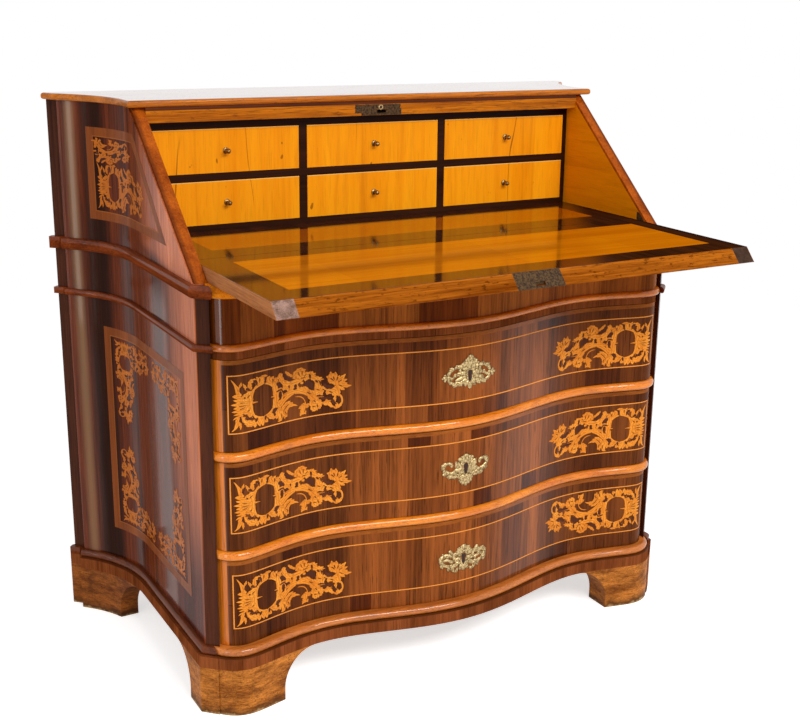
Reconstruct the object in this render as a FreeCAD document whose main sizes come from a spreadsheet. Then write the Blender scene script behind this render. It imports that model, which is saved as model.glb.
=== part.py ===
import FreeCAD, Part
import math
import os

import Sketcher
from FreeCAD import Rotation, Vector

# Escritoire: a slant-front bureau with a serpentine front, shown with its fall open.
# Millimetres, +Z up, the front faces -Y, the origin lies under the middle of the outline.
# Heights are counted from the floor; depths are counted from the back edge of the open fall
# and moved to the shared origin by across().

# Driving sizes: alias, value, meaning
SIZES = [
    # Heights
    ("foot_height", 86, "floor to the underside of the base"),
    ("toe_height", 22, "straight part at the bottom of a foot"),
    ("base_fascia_height", 21, "flat lower band of the base"),
    ("base_bead_height", 15, "half-round on top of the base"),
    ("drawer_height", 158, "opening of one long drawer"),
    ("divider_height", 17, "half-round rail between long drawers"),
    ("waist_fascia_height", 13, "flat band over the top drawer"),
    ("waist_bead_height", 12, "half-round over that band"),
    ("frieze_height", 75, "plain board under the fall"),
    ("ledge_height", 22, "moulded board the fall rests on"),
    ("top_thickness", 12, "top board"),
    # Widths, counted from the middle
    ("case_half", 482, "middle to the straight part of a side"),
    ("side_thickness", 18, "side panel"),
    ("lining_thickness", 6, "thin board inside the desk part"),
    ("facing_width", 21, "strip on the sloping edge"),
    ("facing_thickness", 5, "same strip, through the slope"),
    ("base_split", 10, "joint of the front and side base, inside the side's face"),
    # Depths
    ("hinge_to_back", 440, "back edge of the open fall to the back of the case"),
    ("gallery_setback", 237.5, "back edge of the open fall to the small drawers"),
    ("back_thickness", 12, "back panel"),
    ("board_thickness", 14, "writing bed, dust boards"),
    ("bottom_thickness", 20, "bottom board"),
    # Serpentine front, depths in front of the side edge
    ("bow_depth", 58, "crest of the middle bulge"),
    ("bow_radius", 325, "radius of that bulge"),
    ("hollow_depth", 9, "deepest place of the hollows"),
    ("hollow_radius", 240, "radius of the hollows"),
    ("hollow_place", 276, "middle to a hollow"),
    ("nose_depth", 33, "crest of the rounded ends"),
    ("nose_radius", 42, "radius of the rounded ends"),
    ("front_thickness", 4, "drawer front behind the middle of its rounded ends"),
    ("base_proud", 20, "base fascia in front of the drawer faces"),
    ("bead_step", 4, "base bead behind its fascia"),
    ("divider_proud", 7, "divider in front of the drawer faces"),
    ("ledge_proud", 9, "ledge in front of the frieze"),
    ("base_side_proud", 14, "base fascia outside the sides"),
    ("waist_side_proud", 8, "waist moulding outside the sides"),
    ("ledge_side_proud", 11, "ledge moulding outside the sides"),
    ("top_proud", 9, "top board outside the sides"),
    ("top_lip", 19, "top board in front of the sloping edge"),
    # Sweep of the sides towards the back
    ("flare_setback", 2.9, "inner end of the sweep, in front of the back panel"),
    ("flare_radius", 250, "radius of the sweep"),
    ("flare_angle", 46.7, "degrees of sweep"),
    ("groove", 9, "groove between side and back stile"),
    ("side_round", 7, "rounded rear edge of a side"),
    ("stile_tip", 10, "back stile outside the side"),
    ("stile_return", 7, "cant at the very back"),
    # Feet
    ("foot_front_length", 118, "front foot on the floor, along the front"),
    ("foot_side_length", 47, "front foot on the floor, along the side"),
    ("foot_back_length", 116, "back foot on the floor"),
    # Fall
    ("fall_thickness", 24, "the fall"),
    ("fall_head", 44.65, "inner edge of the closed fall under the top"),
    ("slope", 41, "degrees of the closed fall over level"),
    ("pivot_depth", 6, "pivot under the writing face"),
    ("pivot_radius", 4, "pivot pin"),
    ("pivot_length", 16, "pivot pin inside the fall"),
    ("pivot_plate_thickness", 2, "iron plate of a pivot"),
    ("pivot_plate_width", 22, "same plate, along the fall"),
    ("pivot_plate_height", 30, "same plate, upright"),
    ("pivot_plate_drop", 9, "same plate, below the pivot"),
    ("clamp_width", 36, "end clamps of the fall"),
    ("lock_plate_width", 92, "iron plate in the edge of the fall"),
    ("lock_plate_thickness", 2, "same plate"),
    ("fall_lock_width", 60, "lock case inside the fall"),
    ("fall_lock_length", 46, "same case"),
    ("fall_lock_height", 10, "same case"),
    ("fall_bolt_width", 18, "bolt of the fall"),
    ("fall_bolt_height", 5, "same bolt"),
    ("fall_bolt_length", 34, "same bolt"),
    ("fall_bolt_level", 6, "middle of that bolt inside the outer face"),
    ("fall_bolt_throw", 9, "travel of that bolt"),
    # Gallery of small drawers
    ("small_height", 80, "opening of a small drawer"),
    ("small_middle_half", 142.7, "half of the middle opening"),
    ("upright_thickness", 15.6, "upright between small drawers"),
    ("gallery_end", 9.4, "black strip at both ends"),
    ("gallery_floor", 10, "black strip under the small drawers"),
    ("gallery_shelf", 14, "black strip between the rows"),
    ("gallery_roof", 16, "black strip over the small drawers"),
    ("small_back_gap", 14.5, "small drawer to the back panel"),
    ("small_wall", 7, "walls of a small drawer"),
    ("small_front", 12, "front of a small drawer"),
    ("small_base", 5, "bottom of a small drawer"),
    ("rail_height", 20, "rail over the gallery"),
    ("rail_depth", 50, "same rail, front to back"),
    ("band_height", 7, "dark strip between that rail and the top"),
    ("keeper_width", 86, "iron plate that takes the bolt of the fall"),
    ("keeper_height", 12, "same plate"),
    ("keeper_thickness", 2, "same plate"),
    ("knob_radius", 6, "knob"),
    ("knob_stem_radius", 3, "neck of a knob"),
    ("knob_reach", 12, "middle of a knob in front of the drawer"),
    # Long drawers
    ("drawer_back_gap", 29.5, "drawer box to the back panel"),
    ("drawer_wall", 12, "sides and back of a drawer box"),
    ("drawer_base", 8, "bottom of a drawer box"),
    ("drawer_base_lift", 6, "bottom board over the lower edge"),
    ("drawer_side_drop", 16, "drawer side under the opening"),
    ("lock_width", 64, "lock case on the back of a drawer front"),
    ("lock_height", 52, "same case"),
    ("lock_thickness", 13, "same case"),
    ("lock_drop", 2, "same case under the upper edge"),
    ("bolt_width", 20, "bolt of a drawer lock"),
    ("bolt_height", 36, "same bolt"),
    ("bolt_thickness", 5, "same bolt"),
    ("bolt_throw", 10, "travel of that bolt"),
    ("plate_thickness", 2, "brass escutcheon"),
    ("plate_width", 96, "same plate"),
    ("plate_height", 62, "same plate"),
    ("plate_corner", 16, "cut corners of the same plate"),
    # Clearances
    ("drawer_gap", 1, "round a long drawer"),
    ("small_gap", 0.7, "round a small drawer"),
    ("run_gap", 0.2, "under the runners of a drawer"),
    ("fall_gap", 0.8, "at the ends of the fall"),
    ("rest_gap", 0.3, "under the open fall and at its stops"),
    ("pin_gap", 0.06, "round a pivot pin"),
    ("slide_gap", 0.4, "round a bolt"),
    ("hinge_gap", 0.5, "between the turning fall and the bed"),
    ("cut_margin", 5, "how far a cutting body reaches past the work"),
]

# Shares of other sizes
BEAD_ROUND_SHARE = 0.47
TOP_ROUND_SHARE = 0.42
RETURN_SHARE = 0.5
CREST_SHARE = 2 / 3

doc = FreeCAD.newDocument("escritoire")
sheet = doc.addObject("Spreadsheet::Sheet", "sizes")
for row, (alias, size, meaning) in enumerate(SIZES, start=1):
    sheet.set("A%d" % row, alias)
    sheet.set("B%d" % row, str(size))
    sheet.set("C%d" % row, meaning)
    sheet.setAlias("B%d" % row, alias)
doc.recompute()
NODES = []


def s(alias):
    """Name of one size inside an expression."""
    return "sizes." + alias


def value(expression):
    """Number that an expression gives with the present sizes."""
    result = sheet.evalExpression(str(expression))
    return float(getattr(result, "Value", result))


def total(*terms):
    return "(" + " + ".join(str(term) for term in terms) + ")"


def less(first, *terms):
    return "(" + " - ".join(str(term) for term in (first,) + terms) + ")"


def neg(term):
    return "(0 - %s)" % term


def times(*terms):
    return "(" + " * ".join(str(term) for term in terms) + ")"


def node(obj, label):
    """Mark an object as a finished piece with its own file."""
    obj.Label = label
    NODES.append(obj)
    return obj


def box(name, x, y, z):
    """Box between pairs of expressions."""
    obj = doc.addObject("Part::Box", name)
    for size, place, (low, high) in (("Length", "x", x), ("Width", "y", y), ("Height", "z", z)):
        obj.setExpression(size, less(high, low))
        obj.setExpression("Placement.Base." + place, str(low))
    return obj


def boolean(kind, name, base, tool):
    obj = doc.addObject("Part::" + kind, name)
    obj.Base = base
    obj.Tool = tool
    return obj


def common(name, base, tool):
    return boolean("Common", name, base, tool)


def cut(name, base, *tools):
    for index, tool in enumerate(tools):
        last = index == len(tools) - 1
        base = boolean("Cut", name if last else name + "_step%d" % index, base, tool)
    return base


def fuse(name, *members):
    obj = doc.addObject("Part::MultiFuse", name)
    obj.Shapes = list(members)
    obj.Refine = True
    return obj


def group(name, *members):
    obj = doc.addObject("Part::Compound", name)
    obj.Links = list(members)
    return obj


def mirror(name, source):
    """The same piece on the right-hand side."""
    obj = doc.addObject("Part::Mirroring", name)
    obj.Source = source
    obj.Normal = Vector(1, 0, 0)
    obj.Base = Vector(0, 0, 0)
    return obj


PLANES = {
    "plan": (Rotation(), Vector(0, 0, 1), "z"),
    "front": (Rotation(Vector(1, 0, 0), 90), Vector(0, 1, 0), "y"),
    "side": (Rotation(Vector(1, 1, 1), 120), Vector(1, 0, 0), "x"),
}


def new_sketch(name, plane):
    sketch = doc.addObject("Sketcher::SketchObject", name)
    sketch.Placement = FreeCAD.Placement(Vector(0, 0, 0), PLANES[plane][0])
    return sketch


def pin_point(sketch, geometry, position, u, v):
    """Hold one sketch point at a pair of expressions."""
    for kind, expression in (("DistanceX", u), ("DistanceY", v)):
        rule = Sketcher.Constraint(kind, -1, 1, geometry, position, value(expression))
        index = sketch.addConstraint(rule)
        sketch.setExpression("Constraints[%d]" % index, str(expression))


def hold_radius(sketch, geometry, expression):
    index = sketch.addConstraint(Sketcher.Constraint("Radius", geometry, value(expression)))
    sketch.setExpression("Constraints[%d]" % index, str(expression))


def arc_through(start, end, radius, turn):
    """Arc from start to end; turn +1 runs anticlockwise, -1 clockwise."""
    chord = end - start
    middle = (start + end) * 0.5
    rise = math.sqrt(max(radius * radius - chord.Length * chord.Length / 4, 0))
    across_chord = Vector(-chord.y, chord.x, 0).normalize()
    centre = middle + across_chord * rise * turn
    first, last = (start, end) if turn > 0 else (end, start)
    angles = [math.atan2(p.y - centre.y, p.x - centre.x) for p in (first, last)]
    if angles[1] < angles[0]:
        angles[1] += 2 * math.pi
    return Part.ArcOfCircle(Part.Circle(centre, Vector(0, 0, 1), radius), *angles)


def outline(name, plane, corners):
    """Closed sketch. A corner is (u, v), or (u, v, radius, turn) where an arc leaves it."""
    sketch = new_sketch(name, plane)
    points = [Vector(value(c[0]), value(c[1]), 0) for c in corners]
    ends = []
    for index, corner in enumerate(corners):
        start, end = points[index], points[(index + 1) % len(points)]
        if len(corner) == 4:
            sketch.addGeometry(arc_through(start, end, value(corner[2]), corner[3]), False)
            ends.append((1, 2) if corner[3] > 0 else (2, 1))
        else:
            sketch.addGeometry(Part.LineSegment(start, end), False)
            ends.append((1, 2))
    for index in range(len(corners)):
        following = (index + 1) % len(corners)
        rule = Sketcher.Constraint("Coincident", index, ends[index][1], following, ends[following][0])
        sketch.addConstraint(rule)
    for index, corner in enumerate(corners):
        pin_point(sketch, index, ends[index][0], corner[0], corner[1])
        if len(corner) == 4:
            hold_radius(sketch, index, corner[2])
    return sketch


def extrude(name, sketch, plane, low, high):
    """Solid from a sketch between two expressions along the plane's own axis."""
    obj = doc.addObject("Part::Extrusion", name)
    obj.Base = sketch
    obj.DirMode = "Custom"
    obj.Dir = PLANES[plane][1]
    obj.Solid = True
    obj.setExpression("LengthFwd", less(high, low))
    obj.setExpression("Placement.Base." + PLANES[plane][2], str(low))
    return obj


def prism(name, plane, corners, low, high):
    return extrude(name, outline(name + "_outline", plane, corners), plane, low, high)


def rounded(name, source, radius, wanted):
    """Round the edges that the test wanted(edge) picks."""
    doc.recompute()
    obj = doc.addObject("Part::Fillet", name)
    obj.Base = source
    picked = [i for i, edge in enumerate(source.Shape.Edges, start=1) if wanted(edge)]
    obj.Edges = [(i, radius, radius) for i in picked]
    return obj


def level_edge(edge):
    return edge.BoundBox.ZLength < value(s("rest_gap"))


def edge_middle(edge):
    first, last = edge.ParameterRange
    return edge.valueAt((first + last) / 2)


# Levels
Z_BASE_BEAD = total(s("foot_height"), s("base_fascia_height"))
Z_BASE_TOP = total(Z_BASE_BEAD, s("base_bead_height"))
Z_WAIST = total(Z_BASE_TOP, times(3, s("drawer_height")), times(2, s("divider_height")))
Z_WAIST_BEAD = total(Z_WAIST, s("waist_fascia_height"))
Z_FRIEZE = total(Z_WAIST_BEAD, s("waist_bead_height"))
Z_LEDGE = total(Z_FRIEZE, s("frieze_height"))
Z_LEDGE_TOP = total(Z_LEDGE, s("ledge_height"))
Z_FALL = total(Z_LEDGE_TOP, s("rest_gap"))
Z_BED = total(Z_FALL, s("fall_thickness"))
ROWS_HEIGHT = total(s("gallery_floor"), times(2, s("small_height")), s("gallery_shelf"), s("gallery_roof"))
DESK_HEIGHT = total(ROWS_HEIGHT, s("rail_height"), s("band_height"))
Z_ROOF = total(Z_BED, DESK_HEIGHT)
Z_TOP = total(Z_ROOF, s("top_thickness"))
PIVOT_Z = less(Z_BED, s("pivot_depth"))

# Widths
SIDE_IN = less(s("case_half"), s("side_thickness"))
DESK_HALF = less(SIDE_IN, s("lining_thickness"))
FALL_HALF = less(DESK_HALF, s("fall_gap"))
FRONT_HALF = less(SIDE_IN, s("drawer_gap"))
NOSE_X = less(FRONT_HALF, s("nose_radius"))

# Slope of the closed fall
TAN = "tan(sizes.slope * 1 deg)"
SIN = "sin(sizes.slope * 1 deg)"
COS = "cos(sizes.slope * 1 deg)"
BACK_REACH = less(s("fall_thickness"), s("pivot_depth"))
BEVEL = times(s("fall_thickness"), TAN)
FALL_RISE = less(total(DESK_HEIGHT, s("pivot_depth")), s("fall_head"))
FALL_ARM = "((%s + %s * %s) / %s)" % (FALL_RISE, s("pivot_depth"), COS, SIN)
FALL_LENGTH = total(FALL_ARM, BACK_REACH)
MIDDLE = "((%s - %s - %s) / 2)" % (s("hinge_to_back"), FALL_LENGTH, BEVEL)


def across(depth):
    """Depth behind the back edge of the open fall, moved to the shared origin."""
    return less(depth, MIDDLE)


PIVOT_Y = across(neg(BACK_REACH))


def slant(level, inside="0"):
    """Depth of the sloping front at a level, or of a plane that lies inside it."""
    return "(%s + (%s - %s) / %s - (%s - %s) / %s)" % (
        PIVOT_Y, level, PIVOT_Z, TAN, BACK_REACH, inside, SIN)


Y_BACK = across(s("hinge_to_back"))
Y_PANEL = less(Y_BACK, s("back_thickness"))
Y_CASE = slant(Z_LEDGE_TOP)
Y_GALLERY = across(s("gallery_setback"))
Y_NOSE = total(less(Y_CASE, s("nose_depth")), s("nose_radius"))
Y_FRONT_BACK = total(Y_NOSE, s("front_thickness"))
Y_BED = total(PIVOT_Y, BACK_REACH, s("hinge_gap"))
BASE_SPLIT = less(s("case_half"), s("base_split"))

# Closed fall: depth of its upright edge and levels of that edge
REACH = total(FALL_ARM, BEVEL)
Y_STOP = total(PIVOT_Y, less(times(REACH, COS), times(BACK_REACH, SIN)), s("rest_gap"))

# Sweep of the side
FLARE_COS = "cos(sizes.flare_angle * 1 deg)"
FLARE_SIN = "sin(sizes.flare_angle * 1 deg)"
FLARE_X = total(s("case_half"), s("flare_radius"))
INNER_SWEEP = total(s("flare_radius"), s("side_thickness"))
Y_FLARE = less(Y_PANEL, s("flare_setback"), times(INNER_SWEEP, FLARE_SIN))


def swept(inside):
    """Rear end of the side, so far inside its outer face."""
    radius = total(s("flare_radius"), inside)
    return neg(less(FLARE_X, times(radius, FLARE_COS))), total(Y_FLARE, times(radius, FLARE_SIN))


def wave(sketch, start, end):
    """Smooth curve between two crests (x, y, radius), level at both. Its poles follow it."""
    drop = "abs(%s - %s)" % (end[1], start[1])
    reaches = ["sqrt(%s)" % times(CREST_SHARE, drop, crest[2]) for crest in (start, end)]
    leaving = (total(start[0], reaches[0]), start[1])
    arriving = (less(end[0], reaches[1]), end[1])
    poles = [start[:2], leaving, arriving, end[:2]]
    curve = Part.BSplineCurve()
    points = [Vector(value(u), value(v), 0) for u, v in poles]
    ends = (len(poles), len(poles))
    curve.buildFromPolesMultsKnots(points, ends, (0.0, 1.0), False, len(poles) - 1)
    index = sketch.addGeometry(curve, False)
    sketch.exposeInternalGeometry(index)
    return index, poles


def front_sketch(name, grow):
    """Serpentine plan: rounded ends, two hollows and a bow, so far in front of the drawer faces."""
    sketch = new_sketch(name, "plan")
    nose_r = total(s("nose_radius"), grow)
    nose = (NOSE_X, less(Y_CASE, s("nose_depth"), grow), nose_r)
    hollow = (s("hollow_place"), less(Y_CASE, s("hollow_depth"), grow), less(s("hollow_radius"), grow))
    bow = ("0", less(Y_CASE, s("bow_depth"), grow), total(s("bow_radius"), grow))
    crests = [(neg(nose[0]),) + nose[1:], (neg(hollow[0]),) + hollow[1:], bow, hollow, nose]
    half = total(NOSE_X, nose_r)
    arcs = []
    for place, first in ((neg(NOSE_X), math.pi), (NOSE_X, 1.5 * math.pi)):
        circle = Part.Circle(Vector(value(place), value(Y_NOSE), 0), Vector(0, 0, 1), value(nose_r))
        arc = sketch.addGeometry(Part.ArcOfCircle(circle, first, first + math.pi / 2), False)
        pin_point(sketch, arc, 3, place, Y_NOSE)
        arcs.append(arc)
    waves = []
    for first, last in zip(crests, crests[1:]):
        index, poles = wave(sketch, first, last)
        for step, (u, v) in enumerate(poles):
            if step or not waves:
                pin_point(sketch, index + 1 + step, 3, u, v)
        if waves:
            sketch.addConstraint(Sketcher.Constraint("Coincident", waves[-1], 2, index, 1))
        waves.append(index)
    left, right = -value(half), value(half)
    nose_y, rear = value(Y_NOSE), value(Y_FRONT_BACK)
    corners = [Vector(*p, 0) for p in ((right, nose_y), (right, rear), (left, rear), (left, nose_y))]
    lines = []
    for first, last in zip(corners, corners[1:]):
        lines.append(sketch.addGeometry(Part.LineSegment(first, last), False))
    chain = [(arcs[0], 2, waves[0], 1), (waves[-1], 2, arcs[1], 1), (arcs[1], 2, lines[0], 1),
             (lines[0], 2, lines[1], 1), (lines[1], 2, lines[2], 1), (lines[2], 2, arcs[0], 1)]
    for joint in chain:
        sketch.addConstraint(Sketcher.Constraint("Coincident", *joint))
    for arc, position in ((arcs[0], 1), (arcs[1], 2)):
        index = sketch.addConstraint(Sketcher.Constraint("DistanceY", -1, 1, arc, position, nose_y))
        sketch.setExpression("Constraints[%d]" % index, Y_NOSE)
    pin_point(sketch, lines[1], 1, half, Y_FRONT_BACK)
    pin_point(sketch, lines[1], 2, neg(half), Y_FRONT_BACK)
    return sketch


def front_board(name, grow, low, high, half, sketch=None):
    """Board with the serpentine face, cut off at both ends."""
    plan = sketch or front_sketch(name + "_plan", grow)
    body = extrude(name + "_body", plan, "plan", low, high)
    far = less(Y_CASE, s("bow_depth"), grow, s("cut_margin"))
    room = box(name + "_room", (neg(half), half), (far, Y_FRONT_BACK), (low, high))
    return common(name, body, room)


def bead(name, board, height):
    """Round the upper and lower front edges of a serpentine board."""
    rear = value(Y_FRONT_BACK) - value(s("rest_gap"))
    doc.recompute()
    limit = board.Shape.BoundBox.XMax - value(s("rest_gap"))

    def wanted(edge):
        place = edge_middle(edge)
        return level_edge(edge) and place.y < rear and abs(place.x) < limit

    return rounded(name, board, value(height) * BEAD_ROUND_SHARE, wanted)


def side_band(name, low, high, proud, split):
    """Strip along the outside of the left side, from the canted corner to the rear."""
    cant = less(s("case_half"), split)
    outer = total(s("case_half"), proud)
    corners = [
        (neg(split), less(Y_CASE, cant)),
        (neg(split), less(Y_CASE, cant, times("sqrt(2)", proud))),
        (neg(outer), less(Y_CASE, times("(sqrt(2) - 1)", proud))),
        (neg(outer), Y_FLARE, less(s("flare_radius"), proud), 1),
        swept(neg(proud)),
        swept("0") + (s("flare_radius"), -1),
        (neg(s("case_half")), Y_FLARE),
        (neg(s("case_half")), Y_CASE),
    ]
    return prism(name, "plan", corners, low, high)


def side_bead(name, low, high, proud, split):
    """Half-round strip along the left side."""
    strip = side_band(name + "_strip", low, high, proud, split)
    reach = value(proud) / 2
    rear = Vector(value(swept("0")[0]), value(swept("0")[1]), 0)
    case, edge_y, flare_y = value(s("case_half")), value(Y_CASE), value(Y_FLARE)
    centre, radius = value(FLARE_X), value(s("flare_radius"))

    def wanted(edge):
        if not level_edge(edge):
            return False
        place = edge_middle(edge)
        if place.y > flare_y:
            gap = radius - math.hypot(place.x + centre, place.y - flare_y)
            at_end = (Vector(place.x, place.y, 0) - rear).Length < value(proud)
            return gap > reach and not at_end
        if place.y > edge_y:
            return -place.x - case > reach
        over = (-place.x - case + edge_y - place.y) / math.sqrt(2)
        return over > reach and abs(place.x + value(split)) > value(s("rest_gap"))

    room = min(value(less(high, low)), value(proud) * 2)
    return rounded(name, strip, room * BEAD_ROUND_SHARE, wanted)


# Back stile corners, left side
STILE_IN = swept(s("side_thickness"))
STILE_GROOVE = swept(s("groove"))
SWEEP_X = neg(swept("0")[0])
STILE_OUT = (neg(total(SWEEP_X, s("stile_tip"))), less(Y_BACK, s("stile_return")))
STILE_REAR = (neg(less(total(SWEEP_X, s("stile_tip")), s("stile_return"))), Y_BACK)


def stile_return(name, low, high, proud):
    """Moulding that breaks round the back stile."""
    step = times(RETURN_SHARE, proud)
    corners = [
        STILE_GROOVE,
        (neg(total(SWEEP_X, step)), STILE_GROOVE[1]),
        (neg(total(SWEEP_X, s("stile_tip"), proud)), less(Y_BACK, s("stile_return"))),
        (neg(less(total(SWEEP_X, s("stile_tip"), proud), s("stile_return"))), Y_BACK),
        STILE_REAR,
        STILE_OUT,
    ]
    return prism(name, "plan", corners, low, high)


# Carcass: sides with their sloping upper part
side_corners = [
    (neg(s("case_half")), Y_CASE),
    (neg(SIDE_IN), Y_CASE),
    (neg(SIDE_IN), Y_FLARE, total(s("flare_radius"), s("side_thickness")), 1),
    STILE_IN,
    swept("0") + (s("flare_radius"), -1),
    (neg(s("case_half")), Y_FLARE),
]
side_slab = prism("side_slab", "plan", side_corners, Z_BASE_TOP, Z_ROOF)
sweep_end = Vector(value(swept("0")[0]), value(swept("0")[1]), 0)


def sweep_edge(edge):
    place = edge_middle(edge)
    flat = Vector(place.x, place.y, 0)
    return not level_edge(edge) and (flat - sweep_end).Length < value(s("rest_gap"))


side_smooth = rounded("side_smooth", side_slab, value(s("side_round")), sweep_edge)


def above_slope(name, inside, low_x, high_x):
    """Body that fills everything in front of the sloping plane, over the ledge."""
    over = total(Z_ROOF, s("cut_margin"))
    front = less(Y_CASE, s("cut_margin"))
    corners = [
        (front, Z_LEDGE_TOP),
        (slant(Z_LEDGE_TOP, inside), Z_LEDGE_TOP),
        (slant(over, inside), over),
        (front, over),
    ]
    return prism(name, "side", corners, low_x, high_x)


WIDE = total(s("case_half"), s("flare_radius"))
slope_room = above_slope("slope_room", s("facing_thickness"), neg(WIDE), WIDE)
side_left = node(cut("side_left_cut", side_smooth, slope_room), "side_left")
side_right = node(mirror("side_right_mirror", side_left), "side_right")

stile_corners = [
    (neg(s("case_half")), Y_CASE),
    (neg(SIDE_IN), less(Y_CASE, s("side_thickness"))),
    (neg(SIDE_IN), Y_CASE),
]
stile_left = prism("front_stile_left_post", "plan", stile_corners, Z_BASE_TOP, Z_LEDGE)
stile_right = mirror("front_stile_right_post", stile_left)
node(group("front_stiles_pair", stile_left, stile_right), "front_stiles")

back_corners = [STILE_IN, STILE_GROOVE, STILE_OUT, STILE_REAR, (STILE_IN[0], Y_BACK)]
back_stile = prism("back_stile_post", "plan", back_corners, Z_BASE_TOP, Z_ROOF)
node(group("back_stiles_pair", back_stile, mirror("back_stile_mirror", back_stile)), "back_stiles")

PANEL_HALF = neg(STILE_IN[0])
node(box("back_board", (neg(PANEL_HALF), PANEL_HALF), (Y_PANEL, Y_BACK),
         (s("foot_height"), Z_ROOF)), "back_panel")

# Level boards that fill the case between its swept sides
level_corners = [
    (neg(SIDE_IN), Y_FRONT_BACK),
    (SIDE_IN, Y_FRONT_BACK),
    (SIDE_IN, Y_FLARE, INNER_SWEEP, -1),
    (PANEL_HALF, STILE_IN[1]),
    (PANEL_HALF, Y_PANEL),
    (neg(PANEL_HALF), Y_PANEL),
    STILE_IN + (INNER_SWEEP, -1),
    (neg(SIDE_IN), Y_FLARE),
]
level_plan = outline("level_plan", "plan", level_corners)
node(extrude("floor_board", level_plan, "plan", less(Z_BASE_TOP, s("bottom_thickness")), Z_BASE_TOP),
     "bottom_board")

# Serpentine rails, frieze and ledge
RAIL_HALF = SIDE_IN
plain_plan = front_sketch("plain_plan", "0")
divider_plan = front_sketch("divider_plan", s("divider_proud"))


def bolt_slot(name, level):
    """Mortise over a drawer lock."""
    half = total("(%s / 2)" % s("bolt_width"), s("slide_gap"))
    rear = total(Y_FRONT_BACK, s("lock_thickness"))
    low = less(level, s("cut_margin"))
    high = total(level, s("bolt_throw"), s("slide_gap"))
    return box(name, (neg(half), half), (Y_FRONT_BACK, rear), (low, high))


def drawer_floor(index):
    return total(Z_BASE_TOP, times(index, total(s("drawer_height"), s("divider_height"))))


dust_boards = []
for index, label in ((0, "divider_lower"), (1, "divider_upper")):
    low = total(drawer_floor(index), s("drawer_height"))
    high = total(low, s("divider_height"))
    board = front_board(label + "_board", s("divider_proud"), low, high, RAIL_HALF, divider_plan)
    node(bead(label + "_bead", board, s("divider_height")), label)
    dust = extrude(label + "_dust", level_plan, "plan", less(high, s("board_thickness")), high)
    dust_boards.append(cut(label + "_dust_cut", dust, bolt_slot(label + "_slot", low)))
low = Z_WAIST
dust = extrude("waist_dust", level_plan, "plan", low, total(low, s("board_thickness")))
dust_boards.append(cut("waist_dust_cut", dust, bolt_slot("waist_slot", low)))
node(group("dust_board_set", *dust_boards), "dust_boards")

waist_fascia = front_board("waist_fascia", "0", Z_WAIST, Z_WAIST_BEAD, RAIL_HALF, plain_plan)
waist_bar = front_board("waist_bar", s("divider_proud"), Z_WAIST_BEAD, Z_FRIEZE, RAIL_HALF,
                        divider_plan)
waist_bead = bead("waist_bead", waist_bar, s("waist_bead_height"))
node(group("waist_pair", waist_fascia, waist_bead), "waist_rail")
node(front_board("frieze_piece", "0", Z_FRIEZE, Z_LEDGE, RAIL_HALF, plain_plan), "frieze")

ledge_board = front_board("ledge_board", s("ledge_proud"), Z_LEDGE, Z_LEDGE_TOP, RAIL_HALF)
ledge_front = bead("ledge_front", ledge_board, s("ledge_height"))
ledge_rear = box("ledge_rear", (neg(SIDE_IN), SIDE_IN), (Y_FRONT_BACK, Y_GALLERY),
                 (Z_LEDGE, Z_LEDGE_TOP))
node(group("ledge_pair", ledge_front, ledge_rear), "ledge")

# Mouldings along the sides
for label, turn in (("left", None), ("right", mirror)):
    pieces = []
    for part, low, high, proud in (("waist", Z_WAIST_BEAD, Z_FRIEZE, s("waist_side_proud")),
                                   ("ledge", Z_LEDGE, Z_LEDGE_TOP, s("ledge_side_proud"))):
        name = "%s_side_%s" % (part, label)
        pieces.append(side_bead(name + "_bead", low, high, proud, SIDE_IN))
        pieces.append(stile_return(name + "_return", low, high, proud))
    if turn:
        pieces = [turn(piece.Name + "_mirror", piece) for piece in pieces]
    node(group("mouldings_%s_set" % label, *pieces), "side_mouldings_" + label)

# Base
base_plan = front_sketch("base_plan", s("base_proud"))
base_step = less(s("base_proud"), s("bead_step"))
base_fascia = front_board("base_fascia", s("base_proud"), s("foot_height"), Z_BASE_BEAD,
                          BASE_SPLIT, base_plan)
base_bar = front_board("base_bar", base_step, Z_BASE_BEAD, Z_BASE_TOP, BASE_SPLIT)
base_bead = bead("base_bead", base_bar, s("base_bead_height"))
node(group("base_front_pair", base_fascia, base_bead), "base_front")
side_step = less(s("base_side_proud"), s("bead_step"))
base_left = [
    side_band("base_left_fascia", s("foot_height"), Z_BASE_BEAD, s("base_side_proud"), BASE_SPLIT),
    side_bead("base_left_bead", Z_BASE_BEAD, Z_BASE_TOP, side_step, BASE_SPLIT),
    stile_return("base_left_return", s("foot_height"), Z_BASE_TOP, side_step),
]
base_pieces = base_left + [mirror(piece.Name + "_mirror", piece) for piece in base_left]
node(group("base_side_set", *base_pieces), "base_sides")

# Feet
ARCH = less(s("foot_height"), s("toe_height"))


def arch(name, plane, edge, direction, low, high):
    """Cutting body of a bracket foot: upright toe, then a hollow curve up to the base."""
    away = times(direction, ARCH)
    far = total(edge, away, away)
    corners = [
        (edge, neg(s("cut_margin"))),
        (edge, s("toe_height"), ARCH, -direction),
        (total(edge, away), s("foot_height")),
        (far, s("foot_height")),
        (far, neg(s("cut_margin"))),
    ]
    return prism(name, plane, corners, low, high)


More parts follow.
